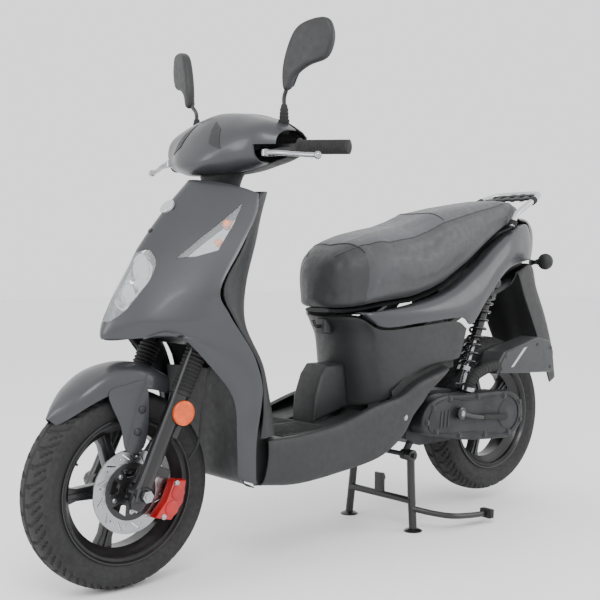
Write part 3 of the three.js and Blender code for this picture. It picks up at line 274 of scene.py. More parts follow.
def outward(obj):
    bm = bmesh.new()
    bm.from_mesh(obj.data)
    bmesh.ops.remove_doubles(bm, verts=bm.verts, dist=1e-6)
    bmesh.ops.recalc_face_normals(bm, faces=bm.faces)
    bm.to_mesh(obj.data)
    bm.free()
    return obj


def apply_modifiers(obj, angle=38):
    """Bakes the object's modifiers into its mesh."""
    bpy.context.view_layer.update()
    depsgraph = bpy.context.evaluated_depsgraph_get()
    baked = bpy.data.meshes.new_from_object(obj.evaluated_get(depsgraph))
    obj.modifiers.clear()
    obj.data = baked
    return smooth(obj, angle)


def settle(obj, body, *nodes, slot=None):
    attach(obj, body)
    if nodes:
        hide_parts(*nodes)
    if slot:
        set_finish(obj, slot)
    return obj


def joined(name, objects):
    """Several meshes as one object, keeping each one's material."""
    bpy.context.view_layer.update()
    bm = bmesh.new()
    materials = []
    for o in objects:
        start = len(bm.faces)
        part = o.data.copy()
        part.transform(o.matrix_world)
        bm.from_mesh(part)
        bm.faces.ensure_lookup_table()
        remap = []
        for m in o.data.materials:
            if m not in materials:
                materials.append(m)
            remap.append(materials.index(m))
        for face in bm.faces[start:]:
            face.material_index = remap[min(face.material_index, len(remap) - 1)]
    mesh = bpy.data.meshes.new(name)
    bm.to_mesh(mesh)
    bm.free()
    for m in materials:
        mesh.materials.append(m)
    obj = bpy.data.objects.new(name, mesh)
    bpy.context.scene.collection.objects.link(obj)
    for o in objects:
        bpy.data.objects.remove(o)
    return obj


def span_point(a, b, c, d, t):
    """The point at t, 0 to 1, between b and c on a Catmull-Rom line."""
    square = (2 * a - 5 * b + 4 * c - d) * t * t
    cube = (3 * b - a - 3 * c + d) * t**3
    return 0.5 * (2 * b + (c - a) * t + square + cube)


def catmull(points, steps, ahead=None):
    """A smooth line through the points, with `steps` pieces to a span. `ahead` is the point before it."""
    pts = np.array(points, float)
    first = 2 * pts[0] - pts[1] if ahead is None else ahead
    pts = np.vstack([first, pts, 2 * pts[-1] - pts[-2]])
    out = []
    for i in range(1, len(pts) - 2):
        a, b, c, d = pts[i - 1 : i + 3]
        for k in range(steps):
            out.append(span_point(a, b, c, d, k / steps))
    out.append(pts[-2])
    return np.array(out)


def fine_net(net, finer, mirror):
    """The net with `finer` steps to each of its own. A mirrored net runs smoothly over the centre plane."""
    wide = []
    for row in net:
        pts = np.array(row, float)
        ahead = None
        if mirror and abs(pts[0][1]) < 2:
            pts[0][1] = 0
            ahead = pts[1] * (1, -1, 1)
        wide.append(catmull(pts, finer, ahead))
    wide = np.array(wide)
    points = np.array([catmull(wide[:, j], finer) for j in range(wide.shape[1])]).transpose(1, 0, 2)
    if mirror:
        points[..., 1] = np.minimum(points[..., 1], 0)
    return points


def moulded(name, net, material, core, wall=4.0, finer=8, mirror=True, bevel=0.0012):
    """A sheet through the net's points, thickened on the side where core is."""
    points = fine_net(net, finer, mirror)
    m, n = points.shape[:2]
    i, j = m // 2, n // 2
    normal = np.cross(points[i, j + 1] - points[i, j], points[i + 1, j] - points[i, j])
    inward = normal.dot(np.array(core, float) - points[i, j]) > 0
    verts = [mm(p) for p in points.reshape(-1, 3)]
    faces = []
    for a in range(m - 1):
        for b in range(n - 1):
            quad = (a * n + b, a * n + b + 1, (a + 1) * n + b + 1, (a + 1) * n + b)
            faces.append(quad[::-1] if inward else quad)
    if mirror:
        faces += [tuple(m * n + v for v in face[::-1]) for face in faces]
        verts += [Vector((v.x, -v.y, v.z)) for v in verts]
    obj = make_object(name, verts, faces, material)
    bm = bmesh.new()
    bm.from_mesh(obj.data)
    bmesh.ops.remove_doubles(bm, verts=bm.verts, dist=2e-5)
    bm.to_mesh(obj.data)
    bm.free()
    solid = obj.modifiers.new("wall", "SOLIDIFY")
    solid.thickness = wall / 1000
    solid.offset = -1
    if bevel:
        edge = obj.modifiers.new("edge", "BEVEL")
        edge.width = bevel
        edge.segments = 2
        edge.limit_method = "ANGLE"
        edge.angle_limit = math.radians(60)
    return apply_modifiers(obj)


def tube(name, points, radius, material, steps=8, sides=8, closed=False, radii=None):
    """A round bar along a smooth line through the design points."""
    line = catmull(points, steps) if steps > 1 else np.array(points, float)
    curve = bpy.data.curves.new(name, "CURVE")
    curve.dimensions = "3D"
    curve.bevel_depth = radius / 1000
    curve.bevel_resolution = sides // 2
    curve.use_fill_caps = not closed
    spline = curve.splines.new("POLY")
    spline.points.add(len(line) - 1)
    widths = np.interp(
        np.linspace(0, 1, len(line)),
        np.linspace(0, 1, len(radii)),
        radii,
    ) if radii else None
    for i, p in enumerate(line):
        spline.points[i].co = (*mm(p), 1)
        if widths is not None:
            spline.points[i].radius = widths[i] / radius
    spline.use_cyclic_u = closed
    return from_curve(name, curve, material)


def from_curve(name, curve, material, matrix=None):
    temp = bpy.data.objects.new(name + "_curve", curve)
    bpy.context.scene.collection.objects.link(temp)
    bpy.context.view_layer.update()
    mesh = bpy.data.meshes.new_from_object(temp.evaluated_get(bpy.context.evaluated_depsgraph_get()))
    bpy.data.objects.remove(temp)
    if matrix:
        mesh.transform(matrix)
    mesh.materials.clear()
    mesh.materials.append(MATS[material])
    mesh.name = name
    obj = bpy.data.objects.new(name, mesh)
    bpy.context.scene.collection.objects.link(obj)
    return smooth(outward(obj))


def plate(name, outlines, y0, y1, material, bevel=2.0, closed_smooth=False):
    """Outlines of (x, z) design points, holes after the first, as a plate from y0 to y1 with round edges."""
    curve = bpy.data.curves.new(name, "CURVE")
    curve.dimensions = "2D"
    curve.fill_mode = "BOTH"
    curve.extrude = abs(y1 - y0) / 2000 - bevel / 1000
    curve.bevel_depth = bevel / 1000
    curve.bevel_resolution = 3
    curve.offset = -bevel / 1000
    for outline in outlines:
        pts = list(outline)
        if closed_smooth:
            pts = smooth_loop(pts, 5)
        spline = curve.splines.new("POLY")
        spline.points.add(len(pts) - 1)
        for i, (x, z) in enumerate(pts):
            spline.points[i].co = ((x + SHIFT) / 1000, z / 1000, 0, 1)
        spline.use_cyclic_u = True
    turn = Matrix(((1, 0, 0, 0), (0, 0, -1, (y0 + y1) / 2000), (0, 1, 0, 0), (0, 0, 0, 1)))
    return from_curve(name, curve, material, turn)


def smooth_loop(points, steps):
    """A closed smooth line through the points."""
    pts = np.array(points, float)
    n = len(pts)
    out = []
    for i in range(n):
        a, b, c, d = pts[(i - 1) % n], pts[i], pts[(i + 1) % n], pts[(i + 2) % n]
        for k in range(steps):
            out.append(span_point(a, b, c, d, k / steps))
    return [tuple(p) for p in out]


def turned(name, start, end, profile, material, segments=48, angle=38):
    """A lathe about the line from start to end, with a profile of (share of the line, radius in mm)."""
    a, b = mm(start), mm(end)
    axis = (b - a).normalized()
    side = axis.orthogonal().normalized()
    other = axis.cross(side)
    verts, faces = [], []
    for t, r in profile:
        centre = a.lerp(b, t)
        for k in range(segments):
            w = 2 * math.pi * k / segments
            verts.append(centre + (side * math.cos(w) + other * math.sin(w)) * (r / 1000))
    m = len(profile)
    for i in range(m - 1):
        for k in range(segments):
            k2 = (k + 1) % segments
            faces.append(
                (i * segments + k, i * segments + k2, (i + 1) * segments + k2, (i + 1) * segments + k)
            )
    faces.append(tuple(range(segments))[::-1])
    faces.append(tuple((m - 1) * segments + k for k in range(segments)))
    return smooth(outward(make_object(name, verts, faces, material)), angle)


def bolt(name, at, direction, radius=6, height=4, material="black_metal"):
    """A hexagon head with a round shoulder, at a design point."""
    d = Vector(direction).normalized()
    end = tuple(np.array(at) + np.array(d) * height)
    base = tuple(np.array(at) - np.array(d) * 2)
    washer = turned(
        name + "_w", base, tuple(np.array(at) + np.array(d) * 1.2),
        [(0, radius * 1.35), (1, radius * 1.3)], material, 24,
    )
    head = turned(name, at, end, [(0, radius), (0.8, radius), (1, radius * 0.85)], material, 6, 20)
    return joined(name, [washer, head])


def blob(name, centre, radii, material, segments=32, rings=20):
    bm = bmesh.new()
    bmesh.ops.create_uvsphere(bm, u_segments=segments, v_segments=rings, radius=1)
    mesh = bpy.data.meshes.new(name)
    bm.to_mesh(mesh)
    bm.free()
    mesh.transform(Matrix.Diagonal((radii[0] / 1000, radii[1] / 1000, radii[2] / 1000, 1)))
    mesh.transform(Matrix.Translation(mm(centre)))
    mesh.materials.append(MATS[material])
    obj = bpy.data.objects.new(name, mesh)
    bpy.context.scene.collection.objects.link(obj)
    return smooth(obj, 60)


def window_cutter(name, outline, front, back):
    """A prism along X from an outline of (y, z) design points."""
    n = len(outline)
    verts = [mm((front, y, z)) for y, z in outline] + [mm((back, y, z)) for y, z in outline]
    faces = [tuple(range(n)), tuple(range(2 * n - 1, n - 1, -1))]
    faces += [(i, (i + 1) % n, n + (i + 1) % n, n + i) for i in range(n)]
    return outward(make_object(name, verts, faces, None))


def boolean(obj, cutter, operation):
    mod = obj.modifiers.new("window", "BOOLEAN")
    mod.operation = operation
    mod.solver = "EXACT"
    mod.object = cutter
    apply_modifiers(obj)
    return obj


def copy_of(obj, name):
    other = obj.copy()
    other.data = obj.data.copy()
    other.name = name
    bpy.context.scene.collection.objects.link(other)
    return other


def repaint(obj, material):
    obj.data.materials.clear()
    obj.data.materials.append(MATS[material])
    return obj


def mirror_piece(obj, name):
    other = copy_of(obj, name)
    other.data.transform(Matrix.Diagonal((1, -1, 1, 1)))
    other.data.flip_normals()
    other.data.update()
    return other


def shrunk(outline, by):
    mid = np.mean(np.array(outline, float), axis=0)
    out = []
    for p in outline:
        d = np.array(p, float) - mid
        out.append(tuple(np.array(p) - d / np.linalg.norm(d) * by))
    return out

# ------------------------------------------------------------------ nets and outlines, mm
# A net is rows of [x, y, z] on one half of a panel, an outline is pairs in its own plane.
SHIELD_NET = [
  [[-440, 1, 934], [-425, -32, 932], [-402, -78, 925], [-382, -130, 912], [-366, -168, 898]],
  [[-497, 1, 876], [-482, -30, 874], [-446, -82, 868], [-410, -140, 860], [-384, -182, 848]],
  [[-561, 1, 800], [-546, -32, 798], [-505, -88, 794], [-458, -146, 787], [-430, -187, 775]],
  [[-628, 1, 705], [-612, -34, 703], [-566, -90, 698], [-516, -146, 690], [-490, -186, 678]],
  [[-668, 1, 622], [-652, -36, 622], [-606, -92, 620], [-530, -148, 618], [-464, -187, 622]],
  [[-682, 1, 568], [-655, -44, 590], [-600, -98, 600], [-528, -146, 592], [-434, -188, 580]],
  [[-630, -66, 570], [-590, -104, 580], [-548, -132, 578], [-486, -162, 566], [-406, -188, 543]],
  [[-568, -122, 582], [-532, -142, 562], [-490, -160, 546], [-440, -176, 526], [-388, -188, 510]],
  [[-478, -150, 491], [-452, -165, 482], [-425, -178, 472], [-398, -186, 462], [-371, -188, 455]],
  [[-430, -158, 420], [-416, -172, 415], [-402, -182, 412], [-389, -187, 410], [-375, -189, 408]],
  [[-424, -160, 330], [-414, -173, 328], [-405, -183, 326], [-397, -188, 325], [-390, -189, 324]],
  [[-416, -152, 240], [-408, -164, 236], [-400, -173, 232], [-393, -178, 228], [-385, -181, 224]],
]
HEADLIGHT_OUTLINE = [
  [0, 604], [-22, 610], [-42, 634], [-56, 676], [-60, 712], [-52, 744], [-26, 768], [0, 762],
  [26, 768], [52, 744], [60, 712], [56, 676], [42, 634], [22, 610],
]
INDICATOR_OUTLINE = [[-86, 748], [-118, 752], [-150, 766], [-152, 822], [-146, 874], [-116, 810]]
INNER_NET = [
  [[-262, 1, 912], [-268, -60, 910], [-300, -120, 905], [-340, -156, 898], [-355, -161, 897]],
  [[-285, 1, 800], [-295, -70, 800], [-350, -135, 795], [-400, -174, 782], [-416, -179, 779]],
  [[-322, 1, 690], [-335, -80, 690], [-395, -145, 688], [-454, -177, 682], [-474, -180, 680]],
  [[-340, 1, 600], [-350, -85, 600], [-388, -145, 600], [-425, -177, 602], [-441, -180, 604]],
  [[-335, 1, 500], [-338, -90, 500], [-345, -150, 500], [-362, -179, 500], [-374, -181, 500]],
  [[-312, 1, 400], [-312, -95, 400], [-320, -155, 400], [-350, -180, 400], [-363, -182, 400]],
  [[-302, 1, 330], [-302, -100, 330], [-310, -158, 330], [-350, -180, 330], [-371, -181, 330]],
]
SKIRT_NET = [
  [
      [-338, -153, 322], [-237, -153, 322], [-104, -153, 334], [19, -153, 366], [112, -153, 384],
      [185, -153, 420], [300, -153, 452],
  ],
  [
      [-340, -172, 316], [-237, -173, 316], [-104, -174, 330], [19, -175, 362], [112, -176, 380],
      [185, -178, 412], [292, -178, 440],
  ],
  [
      [-345, -176, 270], [-237, -178, 262], [-95, -178, 272], [30, -178, 300], [120, -178, 330],
      [170, -178, 360], [215, -178, 388],
  ],
  [
      [-352, -166, 222], [-237, -168, 208], [-87, -168, 218], [38, -168, 236], [118, -168, 276],
      [150, -168, 320], [186, -168, 352],
  ],
  [
      [-345, -120, 206], [-237, -120, 196], [-87, -120, 204], [34, -120, 224], [96, -124, 252],
      [126, -128, 300], [160, -132, 342],
  ],
]
CENTRE_NET = [
  [
      [-23, 1, 592], [-7, -60, 592], [26, -104, 588], [78, -134, 558], [200, -154, 564],
      [336, -162, 572], [388, -160, 550],
  ],
  [
      [8, 1, 540], [22, -60, 540], [52, -104, 538], [92, -136, 524], [200, -156, 524],
      [328, -162, 524], [376, -160, 514],
  ],
  [
      [20, 1, 470], [34, -60, 470], [62, -104, 470], [100, -138, 466], [200, -157, 466],
      [318, -162, 468], [356, -160, 470],
  ],
  [
      [28, 1, 404], [42, -60, 404], [68, -104, 406], [104, -137, 412], [190, -150, 436],
      [300, -150, 466], [342, -148, 468],
  ],
  [
      [30, 1, 354], [44, -60, 356], [70, -104, 362], [106, -134, 378], [186, -146, 424],
      [296, -144, 460], [338, -144, 464],
  ],
]
LINER_NET = [
  [[-386, 1, 480], [-386, -60, 480], [-392, -110, 480], [-410, -150, 480]],
  [[-378, 1, 400], [-378, -60, 400], [-386, -110, 400], [-402, -153, 400]],
  [[-375, 1, 300], [-375, -60, 300], [-384, -110, 300], [-400, -154, 300]],
  [[-375, 1, 228], [-375, -60, 228], [-384, -110, 228], [-398, -148, 228]],
  [[-346, 1, 204], [-346, -60, 204], [-350, -110, 204], [-360, -142, 206]],
]
SIDE_NET = [
  [
      [30, -78, 602], [78, -96, 604], [200, -104, 620], [325, -104, 648], [440, -98, 702],
      [556, -90, 774], [655, -84, 822], [748, -62, 848], [786, -50, 852],
  ],
  [
      [26, -98, 606], [66, -130, 608], [200, -146, 624], [330, -146, 655], [442, -138, 708],
      [556, -128, 778], [656, -114, 826], [754, -86, 846], [796, -62, 844],
  ],
  [
      [24, -104, 605], [58, -136, 600], [200, -162, 612], [336, -166, 632], [440, -160, 672],
      [540, -150, 736], [644, -134, 790], [752, -100, 810], [800, -70, 812],
  ],
  [
      [24, -106, 603], [64, -140, 584], [200, -166, 594], [344, -172, 604], [428, -168, 622],
      [512, -158, 688], [620, -142, 750], [746, -106, 774], [800, -72, 776],
  ],
  [
      [26, -106, 600], [78, -140, 566], [200, -164, 574], [350, -172, 582], [402, -168, 562],
      [480, -160, 630], [592, -144, 712], [740, -106, 740], [796, -72, 742],
  ],
]
TAIL_NET = [
  [[770, 1, 874], [772, -30, 872], [775, -48, 866]],
  [[836, 1, 868], [830, -30, 866], [808, -50, 858]],
  [[866, 1, 838], [858, -32, 838], [816, -56, 834]],
  [[872, 1, 790], [862, -34, 790], [818, -60, 790]],
  [[860, 1, 738], [850, -34, 738], [812, -62, 738]],
]
TAIL_LIGHT_OUTLINE = [[-34, 756], [34, 756], [40, 800], [28, 826], [-28, 826], [-40, 800]]
MUDGUARD_NET = [
  [[400, 1, 548], [400, -34, 546], [400, -48, 540], [400, -52, 528]],
  [[560, 1, 622], [560, -34, 620], [560, -48, 612], [560, -52, 598]],
  [[720, 1, 692], [718, -40, 690], [708, -60, 680], [694, -68, 660]],
  [[838, 1, 728], [828, -45, 728], [790, -72, 722], [716, -84, 702]],
  [[866, 1, 656], [856, -48, 655], [820, -78, 644], [752, -90, 620]],
  [[912, 1, 560], [902, -48, 560], [868, -80, 548], [800, -92, 524]],
  [[944, 1, 464], [936, -48, 464], [908, -78, 452], [850, -88, 430]],
  [[957, 1, 372], [950, -46, 372], [932, -74, 364], [892, -84, 350]],
]
FRONT_GUARD = [
  [135, 250, 16, 8],
  [127, 258, 42, 16],
  [116, 270, 60, 26],
  [103, 283, 68, 36],
  [90, 290, 70, 42],
  [78, 289, 68, 40],
  [66, 282, 64, 30],
]
COWL_STATIONS = [-1, 60, 120, 172, 214]
COWL_FRONT = [
  [[-292, 1101], [-352, 1096], [-400, 1066], [-430, 1020], [-447, 968], [-420, 946], [-368, 946]],
  [[-290, 1097], [-350, 1090], [-394, 1062], [-424, 1020], [-438, 974], [-408, 950], [-362, 948]],
  [[-288, 1082], [-345, 1078], [-384, 1056], [-404, 1024], [-408, 986], [-384, 960], [-344, 956]],
  [[-288, 1066], [-338, 1064], [-372, 1046], [-386, 1020], [-384, 990], [-368, 970], [-338, 966]],
  [[-290, 1044], [-322, 1042], [-344, 1030], [-352, 1012], [-350, 992], [-340, 980], [-324, 976]],
]
COWL_REAR = [
  [[-284, 1101], [-246, 1088], [-218, 1052], [-214, 1010], [-240, 968], [-290, 952], [-344, 948]],
  [[-282, 1097], [-246, 1084], [-220, 1050], [-216, 1010], [-242, 970], [-290, 954], [-342, 950]],
  [[-280, 1082], [-250, 1070], [-228, 1044], [-226, 1010], [-246, 978], [-290, 962], [-336, 958]],
  [[-280, 1066], [-258, 1056], [-242, 1036], [-240, 1010], [-254, 984], [-290, 970], [-330, 968]],
  [[-282, 1044], [-268, 1038], [-258, 1024], [-258, 1006], [-266, 990], [-290, 980], [-316, 978]],
]
MIRROR_OUTLINE = [
  [-6, -10], [10, -10], [26, 18], [60, 38], [104, 50], [122, 78], [124, 112],
  [108, 140], [64, 140], [28, 124], [5, 84], [-8, 34],
]
SEAT_X = [-60, -50, -34, -6, 40, 100, 170, 223, 284, 346, 455, 560, 639, 700, 745, 768]
SEAT_TOP = [684, 726, 747, 768, 790, 808, 822, 831, 849, 871, 891, 906, 916, 914, 904, 888]
SEAT_LOW = [640, 622, 617, 616, 620, 628, 634, 638, 652, 672, 728, 794, 836, 853, 864, 868]
SEAT_HALF = [14, 46, 74, 106, 130, 138, 140, 139, 136, 132, 124, 114, 104, 90, 70, 40]
CASE_OUTLINE = [
  [208, 306], [222, 268], [300, 252], [400, 232], [560, 219], [604, 226], [640, 252], [652, 290],
  [640, 326], [604, 352], [548, 360], [380, 364], [300, 368], [240, 352],
]
AIRBOX_OUTLINE = [[532, 408], [532, 462], [742, 506], [800, 492], [818, 458], [818, 398], [806, 394]]

# ------------------------------------------------------------------ showing the pieces
SLOT_OF = {
    "paint": "body_paint", "plastic": "black_plastic", "plastic_light": "black_plastic",
    "rubber": "rubber_black",
    "tyre": "tyre_rubber", "black_metal": "black_metal", "cast": "cast_alloy", "case": "cast_alloy",
    "steel": "steel_bright", "silver": "silver_paint", "chrome": "reflector_chrome",
    "spring": "spring_steel",
    "red": "caliper_red", "amber": "clear_lens", "reflector": "red_plastic", "tail_red": "red_plastic",
    "lens": "clear_lens", "smoke": "clear_lens", "mirror": "reflector_chrome", "vinyl_nose": "vinyl_grey",
    "vinyl_top": "vinyl_grey", "vinyl_side": "vinyl_grey", "mat": "rubber_black",
    "stripe": "silver_paint",
}
MATERIAL_SLOT = {MATS[key].name: slot for key, slot in SLOT_OF.items()}


def body_of(node):
    return frame["nodes"][node]["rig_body"]


def show(obj, node, instead=True):
    """The piece moves with the CAD node's body, and stands for the node unless it only adds to it."""
    settle(obj, body_of(node), *([node] if instead else []))
    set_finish(obj, MATERIAL_SLOT[obj.data.materials[0].name])
    return obj


def both(make, left, right, instead=True):
    """Makes the left piece, and its mirror image on the right."""
    piece = make()
    other = mirror_piece(piece, piece.name.replace("left", "right"))
    show(piece, left, instead)
    show(other, right, instead)


CAD_FINISH = {
    "frame": "black_metal", "engine_case": "case", "storage_tub": "plastic", "seat_base": "plastic",
    "fork_upper": "black_metal", "front_axle": "steel", "handlebar": "black_metal",
    "wheel_liner": "plastic",
    "headlight_housing": "chrome", "ignition_key": "steel", "floorboard": "plastic",
    "exhaust": "black_metal",
    "horn_button": "plastic", "starter_button": "red", "indicator_switch": "plastic_light",
    "shock_upper": "black_metal", "shock_lower": "steel", "front_rim": "black_metal",
    "rear_rim": "black_metal",
}
for node, mesh_object in frame["nodes"].items():
    mesh_object.data.materials.clear()
    mesh_object.data.materials.append(MATS[CAD_FINISH.get(node, "plastic")])
    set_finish(mesh_object, SLOT_OF[CAD_FINISH.get(node, "plastic")])
    smooth(mesh_object, 32)


# ------------------------------------------------------------------ wheels
TREAD_DEPTH = 4.4
SIPES = 34


def tread_cut(across, turn, half):
    """How deep the tread is cut at this place, in mm: slanted sipes and a broken middle groove."""
    side = abs(across) / half
    if side > 0.93:
        return 0.0
    shift = 0.5 if across > 0 else 0.0
    phase = (turn / (2 * math.pi) * SIPES + shift + 1.5 * side * side - 0.6 * side) % 1.0
    slanted = 0.12 < side < 0.88 and phase < 0.2
    middle = side < 0.05
    short = 0.45 < side < 0.86 and 0.5 < phase < 0.64
    return TREAD_DEPTH if slanted or middle or short else 0.0


def tyre(name, node, axle, radius, width):
    half = width / 2
    outer = [
        (153, -45), (168, -47), (180, -52), (192, -half), (
            radius - 30,
            -half + 0.5,
        ), (radius - 18, -half + 5),
        (radius - 4, -half * 0.52), (radius, 0),
        (
            radius - 4,
            half * 0.52,
        ), (radius - 18, half - 5), (radius - 30, half - 0.5), (192, half), (180, 52),
        (168, 47), (153, 45),
    ]
    line = [tuple(p) for p in catmull(outer, 6)]
    crown = max(p[0] for p in line)
    line = [(r - (crown - radius) * (r > radius), y) for r, y in line]
    inner = [(156, 34), (190, half - 16), (radius - 14, 0), (190, -half + 16), (156, -34)]
    around = 510
    verts, faces = [], []
    count = len(line) + len(inner)
    for k in range(around):
        turn = 2 * math.pi * k / around
        for i, (r, y) in enumerate(line + inner):
            depth = tread_cut(y, turn, half) if i < len(line) and r > radius - 26 else 0
            r2 = r - depth
            verts.append(mm((axle[0] + r2 * math.cos(turn), y, axle[1] + r2 * math.sin(turn))))
    for k in range(around):
        k2 = (k + 1) % around
        for i in range(count):
            i2 = (i + 1) % count
            faces.append((k * count + i, k * count + i2, k2 * count + i2, k2 * count + i))
    show(outward(make_object(name, verts, faces, "tyre", 30)), node)


def ring_line(name, axle, profile, material, segments=96):
    """A closed ring about the wheel's axle, from a profile of (radius, y)."""
    verts, faces = [], []
    n = len(profile)
    for k in range(segments):
        w = 2 * math.pi * k / segments
        for r, y in profile:
            verts.append(mm((axle[0] + r * math.cos(w), y, axle[1] + r * math.sin(w))))
    for k in range(segments):
        k2 = (k + 1) % segments
        for i in range(n):
            faces.append((k * n + i, k * n + (i + 1) % n, k2 * n + (i + 1) % n, k2 * n + i))
    return outward(make_object(name, verts, faces, material))


def about(axle, radius, degrees):
    a = math.radians(degrees)
    return (axle[0] + radius * math.cos(a), axle[1] + radius * math.sin(a))


def circle(centre, radius, count=48):
    return [about(centre, radius, 360 * k / count) for k in range(count)]


def rim(name, node, axle, hub_half):
    band = ring_line(
        name + "_band",
        axle,
        [
            (166, -51), (166, -47), (163, -45.5), (153, -45), (152, -32), (146, -26), (140, -19),
            (140, 19), (146, 26),
            (152, 32), (153, 45), (163, 45.5), (166, 47), (166, 51), (163, 51), (150, 34),
            (144, 28), (133, 18),
            (133, -18), (144, -28), (150, -34), (163, -51),
        ],
        "black_metal",
    )
    pieces = [band]
    for i in range(5):
        d = 108 + 72 * i
        arm = [
            about(axle, 32, d - 32), about(axle, 70, d - 13), about(
                axle,
                110,
                d - 7.2,
            ), about(axle, 138, d - 8.6),
            about(
                axle,
                138,
                d + 8.6,
            ), about(axle, 110, d + 7.2), about(axle, 70, d + 13), about(axle, 32, d + 32),
        ]
        pieces.append(plate(f"{name}_arm{i}", [arm], -14, 14, "black_metal", 4))
        rib = [
            about(axle, 40, d - 7), about(axle, 134, d - 2), about(axle, 134, d + 2),
            about(axle, 40, d + 7),
        ]
        pieces.append(plate(f"{name}_rib{i}", [rib], -18, 18, "black_metal", 1.5))
    hub = turned(
        name + "_hub",
        (axle[0], -hub_half, axle[1]),
        (axle[0], hub_half, axle[1]),
        [(0, 24), (0.02, 27), (0.12, 28), (0.2, 36), (0.8, 36), (0.88, 28), (0.98, 27), (1, 24)],
        "black_metal",
    )
    valve = tube(
        name + "_valve",
        [
            (*about(axle, 134, 146)[:1], 6, about(axle, 134, 146)[1]),
            (about(axle, 112, 147)[0], 12, about(axle, 112, 147)[1]),
        ],
        3, "rubber", 2,
    )
    show(joined(name, pieces + [hub, valve]), node)


tyre("tyre_front", "front_tyre", FRONT_AXLE, 228, 110)
tyre("tyre_rear", "rear_tyre", REAR_AXLE, 236, 112)
rim("rim_front", "front_rim", FRONT_AXLE, 52)
rim("rim_rear", "rear_rim", REAR_AXLE, 54)


def front_disc():
    holes = [circle(FRONT_AXLE, 63, 64)]
    for i in range(12):
        d = 30 * i
        slot = [
            about(FRONT_AXLE, 71, d), about(FRONT_AXLE, 88, d + 12),
            about(FRONT_AXLE, 88, d + 14.4), about(FRONT_AXLE, 71, d + 3),
        ]
        holes.append(slot)
        holes.append(circle(about(FRONT_AXLE, 78, d + 18), 2.4, 10))
    ring = plate("disc_ring", [circle(FRONT_AXLE, 95, 120)] + holes, -59, -55, "steel", 0.3)
    windows = []
    for i in range(5):
        d = 72 * i + 18
        windows.append(
            [
                about(FRONT_AXLE, 34, d - 16), about(FRONT_AXLE, 56, d - 22),
                about(FRONT_AXLE, 56, d + 22), about(FRONT_AXLE, 34, d + 16),
            ]
        )
    carrier = plate(
        "disc_carrier",
        [circle(FRONT_AXLE, 65, 64), circle(FRONT_AXLE, 20, 32)] + windows,
        -60,
        -55.4,
        "black_metal",
        0.6,
    )
    rivets = [
        bolt(
            f"disc_bolt{i}",
            (about(FRONT_AXLE, 45, 72 * i + 54)[0], -60, about(FRONT_AXLE, 45, 72 * i + 54)[1]),
            (0, -1, 0),
            4.5,
            3,
            "steel",
        )
        for i in range(5)
    ]
    show(joined("brake_disc_detail", [ring, carrier] + rivets), "brake_disc")


front_disc()


# ------------------------------------------------------------------ fork
def fork_xz(p, u):
    at = fork_point(p, 0, u)
    return (at[0], at[2])


def fork_leg(s):
    name = "fork_leg_l" if s < 0 else "fork_leg_r"
    node = "fork_leg_left" if s < 0 else "fork_leg_right"
    y = s * LEG_SPREAD
    low, high = fork_point(FORK_OFFSET, y, 206), fork_point(FORK_OFFSET, y, 505)
    leg = turned(
        name + "_tube", low, high,
        [
            (0, 13), (0.015, 17), (0.05, 19), (0.16, 20.5), (0.2, 19), (0.7, 19.4), (0.86, 20),
            (0.9, 21), (0.985, 21), (1, 19),
        ],
        "black_metal",
    )
    eye = turned(
        name + "_eye", fork_point(
            FORK_OFFSET,
            y - s * 24,
            242.4,
        ), fork_point(FORK_OFFSET, y + s * 22, 242.4),
        [(0, 17), (0.06, 20), (0.94, 20), (1, 17.5)], "black_metal",
    )
    lug = plate(
        name + "_lug",
        [[fork_xz(-6, 384), fork_xz(10, 384), fork_xz(11, 416), fork_xz(-6, 416)]],
        y - s * 6 - 12,
        y - s * 6 + 12,
        "black_metal",
        3,
    )
    cap = bolt(
        name + "_cap", fork_point(FORK_OFFSET, y, 205), (-math.sin(CASTER), 0, -math.cos(CASTER)),
        6, 3, "steel",
    )
    show(joined(name, [leg, eye, lug, cap]), node)

    # corrugated rubber boot, held at its top
    bottom, top = fork_point(FORK_OFFSET, y, 478), fork_point(FORK_OFFSET, y, 596)
    profile = [(0, 21.6), (0.01, 24.5), (0.07, 24.5)]
    ribs = 11
    for i in range(ribs):
        t = 0.09 + 0.86 * i / ribs
        profile += [
            (t, 22.2), (t + 0.25 * 0.86 / ribs, 24.5), (t + 0.5 * 0.86 / ribs, 26.2),
            (t + 0.75 * 0.86 / ribs, 24.5),
        ]
    profile += [(0.955, 22), (0.97, 23), (1, 22)]
    boot = turned(name + "_boot", bottom, top, profile, "rubber", 48, 50)
    settle(boot, "steering")
    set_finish(boot, "rubber_black")
    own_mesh(boot)


fork_leg(-1)
fork_leg(1)


